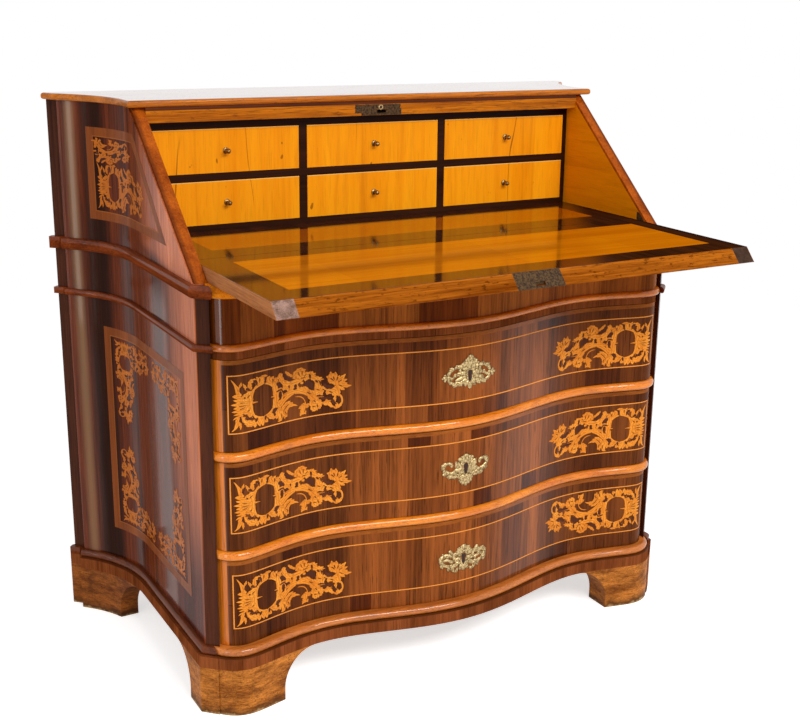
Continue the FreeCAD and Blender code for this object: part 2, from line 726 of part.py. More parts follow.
front_end = less(BASE_SPLIT, s("foot_front_length"))
foot_front = extrude("foot_front_body", base_plan, "plan", "0", s("foot_height"))
foot_span = less(front_end, ARCH)
far_front = less(Y_CASE, s("bow_depth"), s("base_proud"), s("cut_margin"))
foot_room = box("foot_front_room", (neg(BASE_SPLIT), neg(foot_span)), (far_front, Y_FRONT_BACK),
                ("0", s("foot_height")))
foot_front_part = common("foot_front_part", foot_front, foot_room)
front_arch = arch("foot_front_arch", "front", neg(front_end), 1, far_front,
                  total(Y_FRONT_BACK, s("cut_margin")))
foot_front_leg = cut("foot_front_leg", foot_front_part, front_arch)
foot_strip = side_band("foot_side_strip", "0", s("foot_height"), s("base_side_proud"), BASE_SPLIT)
foot_core = prism("foot_side_core", "plan", side_corners, "0", s("foot_height"))
side_end = total(Y_CASE, s("foot_side_length"))
side_room = box("foot_side_room", (neg(WIDE), neg(SIDE_IN)), (far_front, total(side_end, ARCH)),
                ("0", s("foot_height")))
foot_side_part = common("foot_side_part", fuse("foot_side_sum", foot_strip, foot_core), side_room)
side_arch = arch("foot_side_arch", "side", side_end, 1, neg(WIDE), neg(less(SIDE_IN, s("cut_margin"))))
foot_side_leg = cut("foot_side_leg", foot_side_part, side_arch)
foot_left = fuse("foot_front_left_sum", foot_front_leg, foot_side_leg)
node(group("feet_front_pair", foot_left, mirror("foot_front_mirror", foot_left)), "feet_front")

rear_end = less(Y_BACK, s("foot_back_length"))
rear_room = box("foot_back_room", (neg(WIDE), "0"), (less(rear_end, ARCH), Y_BACK),
                ("0", s("foot_height")))
rear_core = fuse("foot_back_sum", side_band("foot_back_strip", "0", s("foot_height"),
                                            s("base_side_proud"), BASE_SPLIT),
                 prism("foot_back_core", "plan", side_corners, "0", s("foot_height")),
                 prism("foot_back_stile", "plan", back_corners, "0", s("foot_height")),
                 stile_return("foot_back_return", "0", s("foot_height"), side_step))
rear_arch = arch("foot_back_arch", "side", rear_end, -1, neg(WIDE), "0")
foot_back = cut("foot_back_leg", common("foot_back_part", rear_core, rear_room), rear_arch)
node(group("feet_back_pair", foot_back, mirror("foot_back_mirror", foot_back)), "feet_back")

# Desk part: linings, facings, bed and top
lining = box("lining_slab", (neg(SIDE_IN), neg(DESK_HALF)), (slant(Z_LEDGE_TOP), Y_PANEL),
             (Z_LEDGE_TOP, Z_ROOF))
lining_slope = above_slope("lining_slope", s("facing_thickness"), neg(WIDE), WIDE)


def pivot_box(name, x):
    low = less(PIVOT_Z, s("pivot_plate_drop"))
    half = "(%s / 2)" % s("pivot_plate_width")
    high = total(low, s("pivot_plate_height"))
    return box(name, x, (less(PIVOT_Y, half), total(PIVOT_Y, half)), (low, high))


plate_x = (neg(total(DESK_HALF, s("pivot_plate_thickness"))), neg(DESK_HALF))
plate_room = pivot_box("pivot_room", plate_x)
plate_slope = above_slope("plate_slope", s("facing_thickness"), neg(WIDE), WIDE)
lining_left = cut("lining_left_cut", lining, lining_slope, plate_room)
node(group("lining_pair", lining_left, mirror("lining_mirror", lining_left)), "linings")

pin = doc.addObject("Part::Cylinder", "pivot_pin")
pin.Placement = FreeCAD.Placement(Vector(0, 0, 0), Rotation(Vector(0, 1, 0), 90))
pin.setExpression("Radius", s("pivot_radius"))
pin.setExpression("Height", total(s("pivot_length"), s("fall_gap"), s("pivot_plate_thickness")))
pin.setExpression("Placement.Base.x", plate_x[0])
pin.setExpression("Placement.Base.y", PIVOT_Y)
pin.setExpression("Placement.Base.z", PIVOT_Z)
pivot_plate = cut("pivot_plate_cut", pivot_box("pivot_plate", plate_x), plate_slope)
pivot_left = fuse("pivot_left_sum", pivot_plate, pin)
node(group("pivot_pair", pivot_left, mirror("pivot_mirror", pivot_left)), "pivots")

facing_out = total(DESK_HALF, s("facing_width"))
facing_corners = [
    (slant(Z_LEDGE_TOP), Z_LEDGE_TOP),
    (slant(Z_LEDGE_TOP, s("facing_thickness")), Z_LEDGE_TOP),
    (slant(Z_ROOF, s("facing_thickness")), Z_ROOF),
    (slant(Z_ROOF), Z_ROOF),
]
facing = prism("facing_strip", "side", facing_corners, neg(facing_out), neg(DESK_HALF))
node(group("facing_pair", facing, mirror("facing_mirror", facing)), "facings")

node(box("bed_board", (neg(DESK_HALF), DESK_HALF), (Y_BED, Y_PANEL),
         (less(Z_BED, s("board_thickness")), Z_BED)), "writing_bed")

top_out = total(s("case_half"), s("top_proud"))
top_front = less(slant(Z_ROOF), s("top_lip"))
top_tip = total(SWEEP_X, s("stile_tip"), s("top_proud"))
swept_top = swept(neg(s("top_proud")))
top_corners = [
    (neg(top_out), Y_CASE),
    (top_out, Y_CASE),
    (top_out, Y_FLARE, less(s("flare_radius"), s("top_proud")), -1),
    (neg(swept_top[0]), swept_top[1]),
    (top_tip, less(Y_BACK, s("stile_return"))),
    (less(top_tip, s("stile_return")), Y_BACK),
    (neg(less(top_tip, s("stile_return"))), Y_BACK),
    (neg(top_tip), less(Y_BACK, s("stile_return"))),
    swept_top + (less(s("flare_radius"), s("top_proud")), -1),
    (neg(top_out), Y_FLARE),
]
top_whole = prism("top_whole", "plan", top_corners, Z_ROOF, Z_TOP)
top_room = box("top_room", (neg(WIDE), WIDE), (top_front, Y_BACK), (Z_ROOF, Z_TOP))
top_slab = common("top_slab", top_whole, top_room)
top_limit = value(Y_BACK) - value(s("rest_gap"))


def top_edge(edge):
    return level_edge(edge) and edge_middle(edge).y < top_limit


node(rounded("top_round", top_slab, value(s("top_thickness")) * TOP_ROUND_SHARE, top_edge), "top_board")

# Rail over the gallery with the keeper of the fall lock
rail_low = less(Z_ROOF, s("band_height"), s("rail_height"))
band_low = less(Z_ROOF, s("band_height"))
rail_y = (Y_STOP, total(Y_STOP, s("rail_depth")))
EDGE_LEVEL = less(s("fall_thickness"), s("fall_bolt_level"))
BOLT_OUT = less(BACK_REACH, s("fall_bolt_level"))
bolt_start = total(FALL_ARM, times(EDGE_LEVEL, TAN))
keeper_z = total(PIVOT_Z, times(bolt_start, SIN), times(BOLT_OUT, COS))
keeper_y = total(Y_STOP, s("keeper_thickness"))
keeper_half = "(%s / 2)" % s("keeper_width")
keeper_low = less(keeper_z, "(%s / 2)" % s("keeper_height"))
keeper_room = (neg(keeper_half), keeper_half)
keeper_z_pair = (keeper_low, total(keeper_low, s("keeper_height")))
rail_body = box("rail_body", (neg(DESK_HALF), DESK_HALF), rail_y, (rail_low, band_low))
keeper_pocket = box("keeper_pocket", keeper_room, (Y_STOP, keeper_y), keeper_z_pair)
bolt_half = total("(%s / 2)" % s("fall_bolt_width"), s("slide_gap"))
throw = total(s("fall_bolt_throw"), s("fall_bolt_throw"))
thick = total("(%s / 2)" % s("fall_bolt_height"), s("slide_gap"))


def bolt_path(name):
    """Sloping hole that the bolt of the closed fall enters."""
    corners = []
    for run, side in ((neg(throw), -1), (throw, -1), (throw, 1), (neg(throw), 1)):
        shift = times(side, thick)
        corners.append((less(total(Y_STOP, times(run, COS)), times(shift, SIN)),
                        total(keeper_z, times(run, SIN), times(shift, COS))))
    return prism(name, "side", corners, neg(bolt_half), bolt_half)


rail = cut("rail_cut", rail_body, keeper_pocket, bolt_path("rail_bolt_path"))
band = box("band_strip", (neg(DESK_HALF), DESK_HALF), rail_y, (band_low, Z_ROOF))
node(group("rail_pair", rail, band), "top_rail")
keeper = box("keeper_plate", keeper_room, (Y_STOP, keeper_y), keeper_z_pair)
node(cut("keeper_cut", keeper, bolt_path("keeper_bolt_path")), "lock_keeper")

# Gallery frame and small drawers
row_low = [total(Z_BED, s("gallery_floor")),
           total(Z_BED, s("gallery_floor"), s("small_height"), s("gallery_shelf"))]
row_high = [total(low, s("small_height")) for low in row_low]
frame_y = (Y_GALLERY, Y_PANEL)
frame_x = (neg(DESK_HALF), DESK_HALF)
frame = [
    box("gallery_floor_board", frame_x, frame_y, (Z_BED, row_low[0])),
    box("gallery_shelf_board", frame_x, frame_y, (row_high[0], row_low[1])),
    box("gallery_roof_board", frame_x, frame_y, (row_high[1], rail_low)),
]
upright_out = total(s("small_middle_half"), s("upright_thickness"))
side_out = less(DESK_HALF, s("gallery_end"))
for row in (0, 1):
    z = (row_low[row], row_high[row])
    for name, x in (("end", (neg(DESK_HALF), neg(side_out))),
                    ("upright", (neg(upright_out), neg(s("small_middle_half"))))):
        post = box("gallery_%s_%d" % (name, row), x, frame_y, z)
        frame += [post, mirror(post.Name + "_mirror", post)]
node(group("gallery_set", *frame), "gallery_frame")

columns = (
    ("left", neg(side_out), neg(upright_out)),
    ("middle", neg(s("small_middle_half")), s("small_middle_half")),
    ("right", upright_out, side_out),
)
for row, row_name in ((1, "upper"), (0, "lower")):
    for column, low_x, high_x in columns:
        name = "small_%s_%s" % (row_name, column)
        x0, x1 = total(low_x, s("small_gap")), less(high_x, s("small_gap"))
        z0, z1 = total(row_low[row], s("run_gap")), less(row_high[row], s("small_gap"))
        y0 = Y_GALLERY
        y1 = total(y0, s("small_front"))
        y3 = less(Y_PANEL, s("small_back_gap"))
        y2 = less(y3, s("small_wall"))
        inner_x = (total(x0, s("small_wall")), less(x1, s("small_wall")))
        floor_z = total(z0, s("small_base"))
        pieces = [
            box(name + "_front", (x0, x1), (y0, y1), (z0, z1)),
            box(name + "_left", (x0, inner_x[0]), (y1, y3), (z0, z1)),
            box(name + "_right", (inner_x[1], x1), (y1, y3), (z0, z1)),
            box(name + "_back", inner_x, (y2, y3), (floor_z, z1)),
            box(name + "_base", inner_x, (y1, y3), (z0, floor_z)),
        ]
        node(group(name + "_set", *pieces), name)
        stem = doc.addObject("Part::Cylinder", name + "_stem")
        ball = doc.addObject("Part::Sphere", name + "_ball")
        stem.Placement = FreeCAD.Placement(Vector(0, 0, 0), Rotation(Vector(1, 0, 0), 90))
        stem.setExpression("Radius", s("knob_stem_radius"))
        stem.setExpression("Height", s("knob_reach"))
        ball.setExpression("Radius", s("knob_radius"))
        for piece, y in ((stem, y0), (ball, less(y0, s("knob_reach")))):
            piece.setExpression("Placement.Base.x", "((%s + %s) / 2)" % (x0, x1))
            piece.setExpression("Placement.Base.y", y)
            piece.setExpression("Placement.Base.z", "((%s + %s) / 2)" % (z0, z1))
        node(fuse(name + "_knob_sum", stem, ball), "knob_%s_%s" % (row_name, column))

# Fall: board between two end clamps, with a bevelled free edge
fall_back = total(PIVOT_Y, "sqrt(%s ^ 2 - %s ^ 2)" % (BACK_REACH, s("pivot_depth")))
fall_edge = across(neg(FALL_LENGTH))
fall_foot = less(fall_edge, BEVEL)
fall_corners = [
    (fall_back, Z_BED),
    (fall_edge, Z_BED),
    (fall_foot, Z_FALL),
    (PIVOT_Y, Z_FALL, BACK_REACH, 1),
]
CLAMP_IN = less(FALL_HALF, s("clamp_width"))


def under_edge(drop, inside):
    """Point on the bevelled edge, so far under the writing face and inside the edge."""
    return (total(less(fall_edge, times(drop, TAN)), inside), less(Z_BED, drop))


plate_half = "(%s / 2)" % s("lock_plate_width")
edge_plate = [
    under_edge("0", "0"),
    under_edge(s("fall_thickness"), "0"),
    under_edge(s("fall_thickness"), s("lock_plate_thickness")),
    under_edge("0", s("lock_plate_thickness")),
]
bolt_drop = EDGE_LEVEL
case_half_height = "(%s / 2)" % s("fall_lock_height")
case_front = under_edge(bolt_drop, s("lock_plate_thickness"))[0]
case_y = (total(case_front, times(s("fall_lock_height"), TAN)),
          total(case_front, times(s("fall_lock_height"), TAN), s("fall_lock_length")))
case_z = (less(Z_BED, bolt_drop, case_half_height), total(less(Z_BED, bolt_drop), case_half_height))
case_half_width = "(%s / 2)" % s("fall_lock_width")
case_x = (neg(case_half_width), case_half_width)
bolt_z = (less(Z_BED, bolt_drop, "(%s / 2)" % s("fall_bolt_height")),
          total(less(Z_BED, bolt_drop), "(%s / 2)" % s("fall_bolt_height")))
slot_z = (less(bolt_z[0], s("slide_gap")), total(bolt_z[1], s("slide_gap")))
bolt_front = total(under_edge(bolt_drop, "0")[0], times(s("fall_bolt_height"), TAN))
bolt_y = (bolt_front, total(bolt_front, s("fall_bolt_length")))
slot_y = (less(fall_foot, s("cut_margin")), total(bolt_y[1], s("slide_gap")))
slot_x = (neg(bolt_half), bolt_half)


def bolt_room(name):
    return box(name, slot_x, slot_y, slot_z)


plate_body = prism("fall_plate_body", "side", edge_plate, neg(plate_half), plate_half)
plate_pocket = prism("fall_plate_pocket", "side", edge_plate, neg(plate_half), plate_half)
case_body = box("fall_case_body", case_x, case_y, case_z)
case_pocket = box("fall_case_pocket", case_x, case_y, case_z)
fall_board = prism("fall_board_body", "side", fall_corners, neg(CLAMP_IN), CLAMP_IN)
node(cut("fall_board_cut", fall_board, plate_pocket, case_pocket, bolt_room("fall_board_slot")),
     "fall_board")
clamp = prism("fall_clamp_body", "side", fall_corners, neg(FALL_HALF), neg(CLAMP_IN))
bore = doc.addObject("Part::Cylinder", "fall_clamp_bore")
bore.Placement = FreeCAD.Placement(Vector(0, 0, 0), Rotation(Vector(0, 1, 0), 90))
bore.setExpression("Radius", total(s("pivot_radius"), s("pin_gap")))
bore.setExpression("Height", total(s("pivot_length"), s("fall_gap"), s("rest_gap")))
bore.setExpression("Placement.Base.x", neg(DESK_HALF))
bore.setExpression("Placement.Base.y", PIVOT_Y)
bore.setExpression("Placement.Base.z", PIVOT_Z)
clamp_left = cut("fall_clamp_left", clamp, bore)
node(group("fall_clamp_pair", clamp_left, mirror("fall_clamp_mirror", clamp_left)), "fall_clamps")
lock_body = group("fall_lock_set", cut("fall_plate", plate_body, bolt_room("fall_plate_slot")),
                  cut("fall_case", case_body, bolt_room("fall_case_slot")))
node(lock_body, "fall_lock")
bar_half = "(%s / 2)" % s("fall_bolt_width")
node(box("fall_bolt_bar", (neg(bar_half), bar_half), bolt_y, bolt_z), "fall_bolt")

# Long drawers, from the top down
plate_plan = front_sketch("plate_plan", s("plate_thickness"))
for index, label in ((2, "top"), (1, "middle"), (0, "bottom")):
    opening = drawer_floor(index)
    low = total(opening, s("drawer_gap"))
    high = less(total(opening, s("drawer_height")), s("drawer_gap"))
    face = front_board("front_%s_board" % label, "0", low, high, FRONT_HALF, plain_plan)
    node(face, "drawer_front_" + label)
    rear = less(Y_PANEL, s("drawer_back_gap"))
    wall_in = less(FRONT_HALF, s("drawer_wall"))
    wall_top = less(high, s("drawer_side_drop"))
    wall_z = (total(opening, s("run_gap")), wall_top)
    base_low = total(low, s("drawer_base_lift"))
    base_high = total(base_low, s("drawer_base"))
    walls = [
        box("box_%s_left" % label, (neg(FRONT_HALF), neg(wall_in)), (Y_FRONT_BACK, rear), wall_z),
        box("box_%s_right" % label, (wall_in, FRONT_HALF), (Y_FRONT_BACK, rear), wall_z),
        box("box_%s_back" % label, (neg(wall_in), wall_in), (less(rear, s("drawer_wall")), rear),
            (base_high, wall_top)),
        box("box_%s_base" % label, (neg(wall_in), wall_in), (Y_FRONT_BACK, rear), (base_low, base_high)),
    ]
    node(group("box_%s_set" % label, *walls), "drawer_box_" + label)
    plate_mid = "((%s + %s) / 2)" % (low, high)
    plate_half_w = "(%s / 2)" % s("plate_width")
    plate_half_h = "(%s / 2)" % s("plate_height")
    plate_low, plate_high = less(plate_mid, plate_half_h), total(plate_mid, plate_half_h)
    flat_half = less(plate_half_w, s("plate_corner"))
    flat_low, flat_high = total(plate_low, s("plate_corner")), less(plate_high, s("plate_corner"))
    shield = [
        (neg(flat_half), plate_low),
        (flat_half, plate_low),
        (plate_half_w, flat_low),
        (plate_half_w, flat_high),
        (flat_half, plate_high),
        (neg(flat_half), plate_high),
        (neg(plate_half_w), flat_high),
        (neg(plate_half_w), flat_low),
    ]
    shield_body = prism("plate_%s_shield" % label, "front", shield,
                        less(Y_CASE, s("bow_depth"), s("cut_margin")), Y_CASE)
    skin = cut("plate_%s_skin" % label,
               extrude("plate_%s_outer" % label, plate_plan, "plan", low, high),
               extrude("plate_%s_inner" % label, plain_plan, "plan", low, high))
    node(common("plate_%s_piece" % label, skin, shield_body), "escutcheon_" + label)
    lock_top = less(high, s("lock_drop"))
    lock_y = (Y_FRONT_BACK, total(Y_FRONT_BACK, s("lock_thickness")))
    lock_half = "(%s / 2)" % s("lock_width")
    lock_case = box("lock_%s_case" % label, (neg(lock_half), lock_half), lock_y,
                    (less(lock_top, s("lock_height")), lock_top))
    mid_y = "((%s + %s) / 2)" % lock_y
    bolt_y0 = less(mid_y, "(%s / 2)" % s("bolt_thickness"))
    bolt_y1 = total(mid_y, "(%s / 2)" % s("bolt_thickness"))
    bolt_w = "(%s / 2)" % s("bolt_width")
    bolt_low = less(lock_top, s("bolt_height"))
    slot_w = total(bolt_w, s("slide_gap"))
    slot = box("lock_%s_slot" % label, (neg(slot_w), slot_w),
               (less(bolt_y0, s("slide_gap")), total(bolt_y1, s("slide_gap"))),
               (less(bolt_low, s("slide_gap")), total(lock_top, s("cut_margin"))))
    node(cut("lock_%s_cut" % label, lock_case, slot), "drawer_lock_" + label)
    node(box("bolt_%s_bar" % label, (neg(bolt_w), bolt_w), (bolt_y0, bolt_y1), (bolt_low, lock_top)),
         "drawer_bolt_" + label)

# Check everything, then write one file for each piece
doc.recompute()
for obj in doc.Objects:
    if "Invalid" in obj.State or "Error" in obj.State:
        raise RuntimeError("%s is in state %s" % (obj.Name, obj.State))
os.makedirs("parts", exist_ok=True)
for obj in NODES:
    shape = obj.Shape
    if shape.isNull() or not shape.isValid() or not shape.Solids:
        raise RuntimeError("%s has no sound shape" % obj.Label)
    shape.exportStep("parts/%s.step" % obj.Label)
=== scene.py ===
# %% [markdown]
# # A slant-front writing desk, dressed
# The solids of the desk come from the imported model and stay where they are. This lesson gives them
# their woods, inlays and metalwork.

# %% Load the solids
import math
import random
from functools import cached_property

import bmesh
import bpy
from mathutils import Matrix, Vector


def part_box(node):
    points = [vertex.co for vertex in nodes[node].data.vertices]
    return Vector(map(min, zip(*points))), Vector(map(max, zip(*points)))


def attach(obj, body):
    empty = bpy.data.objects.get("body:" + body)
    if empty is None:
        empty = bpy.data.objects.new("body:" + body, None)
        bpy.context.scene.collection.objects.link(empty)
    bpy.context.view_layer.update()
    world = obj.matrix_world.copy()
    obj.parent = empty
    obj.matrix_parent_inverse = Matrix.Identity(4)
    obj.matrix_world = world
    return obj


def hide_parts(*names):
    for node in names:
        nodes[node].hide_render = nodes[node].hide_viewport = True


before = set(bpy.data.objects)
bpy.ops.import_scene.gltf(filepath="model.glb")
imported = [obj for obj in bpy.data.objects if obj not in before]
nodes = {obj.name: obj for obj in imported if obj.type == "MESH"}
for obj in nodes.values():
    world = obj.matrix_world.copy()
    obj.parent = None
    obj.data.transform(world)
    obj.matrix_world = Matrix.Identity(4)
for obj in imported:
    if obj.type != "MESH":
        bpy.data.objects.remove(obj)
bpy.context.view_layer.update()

MM = 0.001

# %% [markdown]
# ## Where the camera stands
# The photograph was taken from the left, a little above the writing level. The place, the tilt and the
# lens were worked out from measured points. The shift is only what the photograph's framing needs.

# %% Camera
CAMERA_AT = Vector((-1127.7, -1936.3, 1192.0)) * MM
CAMERA_YAW, CAMERA_PITCH, CAMERA_ROLL = (math.radians(a) for a in (-30.77, 15.6, 1.0))
IMAGE_WIDTH, IMAGE_HEIGHT, IMAGE_CENTRE = 800, 727, (430.65, 342.76)
FOCAL_PIXELS, SENSOR_WIDTH = 1235.47, 36.0

camera = bpy.data.objects.new("camera", bpy.data.cameras.new("camera"))
bpy.context.scene.collection.objects.link(camera)
turns = ((CAMERA_YAW, "Z"), (math.pi / 2 - CAMERA_PITCH, "X"), (CAMERA_ROLL, "Z"))
yaw, tilt, roll = (Matrix.Rotation(angle, 4, axis) for angle, axis in turns)
camera.matrix_world = Matrix.Translation(CAMERA_AT) @ yaw @ tilt @ roll
lens = camera.data
lens.sensor_width, lens.lens = SENSOR_WIDTH, FOCAL_PIXELS / IMAGE_WIDTH * SENSOR_WIDTH
lens.shift_x = 0.5 - IMAGE_CENTRE[0] / IMAGE_WIDTH
lens.shift_y = (IMAGE_CENTRE[1] - IMAGE_HEIGHT / 2) / IMAGE_WIDTH
lens.clip_start, lens.clip_end = 0.05, 100
bpy.context.scene.camera = camera
print("lens", round(lens.lens, 2), "shift", round(lens.shift_x, 4), round(lens.shift_y, 4))

# %% [markdown]
# ## A way to write materials
# A material is a tree of nodes. Placing nodes by hand takes many lines, so a small class holds one
# socket and lets Python's own signs add the Math nodes: 1 - mask is then a subtraction in the shader.

# %% A socket to calculate with
class Value:
    """One number socket of a material, to calculate with."""

    def __init__(self, finish, socket):
        self.finish, self.socket = finish, socket

    def math(self, operation, *others):
        return self.finish.node("Math", {"operation": operation}, dict(enumerate((self, *others))))

    def __add__(self, other): return self.math("ADD", other)
    def __mul__(self, other): return self.math("MULTIPLY", other)
    def __sub__(self, other): return self.math("SUBTRACT", other)
    def __rsub__(self, other): return self.finish.node("Math", {"operation": "SUBTRACT"}, {0: other, 1: self})
    def __truediv__(self, other): return self.math("DIVIDE", other)
    def __mod__(self, other): return self.math("FLOORED_MODULO", other)
    def __abs__(self): return self.math("ABSOLUTE")
    def floor(self): return self.math("FLOOR")
    def most(self, other): return self.math("MAXIMUM", other)

    def between(self, low, high, soft=0.5):
        """1 inside the two limits, 0 outside, with a soft edge."""
        return self.rise(low - soft, low + soft) * (1 - self.rise(high - soft, high + soft))

    def rise(self, low, high):
        """0 below low, 1 above high, smooth between."""
        return self.finish.node("MapRange", {"interpolation_type": "SMOOTHSTEP"},
                                {"Value": self, "From Min": low, "From Max": high})


print("sockets can be calculated with")

# %% [markdown]
# ## A finish under construction
# One method adds any node, and the others are its most frequent uses. A finish keeps its colour so far, and
# layers are laid over it as on the bench. Patterns read Object coordinates, which are the same for all pieces
# here, so a strip of veneer can be placed by its distance on the whole desk.

# %% Finish
def linear(red, green, blue):
    """A colour as a screen shows it, 0 to 255, as the shader's light values."""
    return tuple((c / 255 / 12.92) if c < 10.3 else ((c / 255 + 0.055) / 1.055) ** 2.4
                 for c in (red, green, blue))


class Finish:
    """A material under construction."""

    def __init__(self, name, kind=bpy.data.materials, shader="Principled BSDF"):
        self.material = kind.new(name)
        self.material.use_nodes = True
        self.tree = self.material.node_tree
        self.shader = self.tree.nodes[shader]

    def node(self, kind, settings, sockets, out=0):
        made = self.tree.nodes.new("ShaderNode" + kind)
        for key, value in settings.items():
            setattr(made, key, value)
        for key, value in sockets.items():
            self.fill(made.inputs[key], value)
        return Value(self, made.outputs[out])

    def fill(self, socket, value):
        if isinstance(value, Value):
            self.tree.links.new(value.socket, socket)
        else:
            socket.default_value = (*value, 1) if socket.type == "RGBA" else value

    @cached_property
    def place(self):
        """The point on the piece, in metres of the whole desk."""
        return self.node("TexCoord", {}, {}, "Object")

    @cached_property
    def axes(self):
        """How far across, back and up the point is, in millimetres."""
        return [self.node("SeparateXYZ", {}, {0: self.place}, axis) / MM for axis in range(3)]

    def noise(self, scale, detail=3.0, rough=0.5, distortion=0.0, move=(0, 0, 0)):
        stretched = self.node("Mapping", {}, {"Vector": self.place, "Scale": scale, "Location": move})
        return self.node("TexNoise", {}, {"Vector": stretched, "Scale": 1.0, "Detail": detail,
                                          "Roughness": rough, "Distortion": distortion})

    def mix(self, share, first, second, blend="MIX"):
        settings = {"data_type": "RGBA", "blend_type": blend}
        return self.node("Mix", settings, {0: share, 6: first, 7: second}, 2)

    def lay(self, share, colour, blend="MIX"):
        """Lays a colour over the finish where the share is high."""
        self.colour = self.mix(share, self.colour, colour, blend)

    def stain(self, share, *screen):
        """Lays a screen colour over the finish where the share is high."""
        self.lay(share, linear(*screen))

    def shade(self, tone, *screen, where=1.0):
        """Darkens the finish by a screen colour where the tone is low."""
        self.lay(where, self.mix(tone, linear(*screen), (1, 1, 1)), "MULTIPLY")

    def bump(self, height, strength, distance):
        return self.node("Bump", {}, {"Height": height, "Strength": strength, "Distance": distance})

    def finish(self, **sockets):
        for key, value in sockets.items():
            self.fill(self.shader.inputs[key.replace("_", " ")], value)
        return self.material


print("materials can be written")

# %% [markdown]
# ## The woods
# All the desk's woods share one recipe. Grain is noise that is stretched along the run of the wood,
# in three sizes: broad figure, fine grain and short dark pores. A picture of a plank would be quicker,
# but noise stays sharp near to and fits any shape.

# %% Grain
UPRIGHT, LONG, DEEP = (1, 1, 0.03), (0.03, 1, 1), (1, 0.03, 1)
PORES_FINER, PORE_DARKNESS = 3.2, 0.4


def grain(made, run, dark, light, figure=24, fine=260, pores=0.4, contrast=1.0):
    """The colour of a wood and the height of its surface, from two colours and the run of its grain."""
    broad = made.noise([g * figure for g in run], 3, 0.55, 0.5)
    close = made.noise([g * fine for g in run], 4, 0.6)
    pore = made.noise([g * fine * PORES_FINER for g in run], 2)
    mixed = ((broad - 0.5) * 1.4 + (close - 0.5)) * contrast + 0.5
    colour = made.mix(mixed.rise(-0.1, 1.1), linear(*dark), linear(*light))
    holes = pore.rise(0.56, 0.68) * pores
    return made.mix(holes, colour, linear(*(c * PORE_DARKNESS for c in dark))), close * 0.6 - holes


def wood(name, *recipe):
    """A finish that starts as one wood."""
    made = Finish(name)
    made.colour, made.height = grain(made, *recipe)
    return made


def veneer(made, share, *recipe):
    """Lays another wood over a finish."""
    made.lay(share, grain(made, *recipe)[0])


def polish(made, rough, gloss, coat=0.0, depth=0.0002, dents=0.2, blur=0.08):
    """French polish over a wood: gloss with slight cloudiness, and pores that show through."""
    cloud = made.noise((9, 9, 5), 4, 0.6)
    return made.finish(Base_Color=made.colour, Roughness=(cloud - 0.5) * 0.18 + rough,
                       Normal=made.bump(made.height, dents, depth), Specular_IOR_Level=gloss,
                       Coat_Weight=coat, Coat_Roughness=blur)


print("grain and polish are ready")

# %% [markdown]
# ## Strips of veneer
# Veneer is sawn from one log and laid side by side, in strips that never quite match. The strips are counted
# along a length, with a wave that makes their widths uneven, and each number draws its own tone.

# %% Strips
def strips(along, width, seed):
    """Counts strips of uneven width along a length."""
    return along / width + (along * (2.3 / width) + seed).math("SINE") * 0.22


def leaves(made, along, width, seed):
    """One random tone for each strip, from -0.5 to 0.5."""
    number = strips(along, width, seed).floor() + seed
    return made.node("TexWhiteNoise", {"noise_dimensions": "1D"}, {"W": number}) - 0.5


print("veneer can be laid in strips")

# %% [markdown]
# ## Dark veneer of the drawers
# The drawer fronts are veneered upright in strips of walnut that differ in tone. Round each panel runs a
# darker border, laid in short pieces. The top edge has a lighter strip, and the rounded ends show golden
# solid wood. All of this is flat, so it belongs in the material and not in the mesh.

# %% Drawer veneer
DRAWER_PITCH, DRAWER_LOW = 175, 122
PANEL_LOW, PANEL_HIGH, PANEL_END = 33, 131, 441
TOP_STRIP, BRIGHT_FLANK, LEAF_WORK = (149.5, 160), (70, 230), (170, 250)
ROUNDED_END, GOLDEN_END = (447, 470), (448, 449.5)
WIDE_STRIP, WIDE_SHIFT = 78, 731  # each row of drawers starts elsewhere in the pattern
SHORT_STRIP, SHORT_SHIFT, UPPER_SHIFT, MID_PANEL = 56, 547, 130, (70, 80)
WALNUT, END_WOOD = ((56, 22, 3), (180, 98, 42)), ((188, 92, 16), (255, 150, 46))


def end_polish(made, weight=0.8):
    """Bright polish in a narrow strip on the rounded ends, which catches the light."""
    return abs(made.axes[0]).between(*ROUNDED_END, 3) * weight


def drawer_veneer():
    made = wood("drawer_veneer", UPRIGHT, *WALNUT, 20, 190, 0.6, 0.85)
    x, _, z = made.axes
    rise = (z - DRAWER_LOW) % DRAWER_PITCH
    row = ((z - DRAWER_LOW) / DRAWER_PITCH).floor()
    panel = rise.between(PANEL_LOW, PANEL_HIGH) * (1 - abs(x).rise(PANEL_END, PANEL_END + 1))
    wide = leaves(made, x + row * WIDE_SHIFT, WIDE_STRIP, 3.0)
    shifted = x + row * SHORT_SHIFT + rise.rise(*MID_PANEL) * UPPER_SHIFT
    short = leaves(made, shifted, SHORT_STRIP, 8.0)
    tone = panel * (wide * 0.42) + (1 - panel) * (short * 0.4 - 0.14)
    made.shade(tone.rise(-0.45, 0.05), 132, 100, 76)
    made.lay(1.0, made.mix(tone.rise(0.0, 0.55), (0, 0, 0), linear(66, 34, 14)), "ADD")
    made.stain(abs(x).rise(*LEAF_WORK) * 0.5, 46, 18, 5)
    veneer(made, rise.between(*TOP_STRIP) * 0.8, LONG, (120, 62, 20), (186, 104, 38))
    veneer(made, abs(x).rise(*GOLDEN_END), UPRIGHT, *END_WOOD)
    return polish(made, 0.2, 0.05, end_polish(made) + x.between(*BRIGHT_FLANK, 60) * 0.55)


drawer_finish = drawer_veneer()
print("drawer veneer:", len(drawer_finish.node_tree.nodes), "nodes")
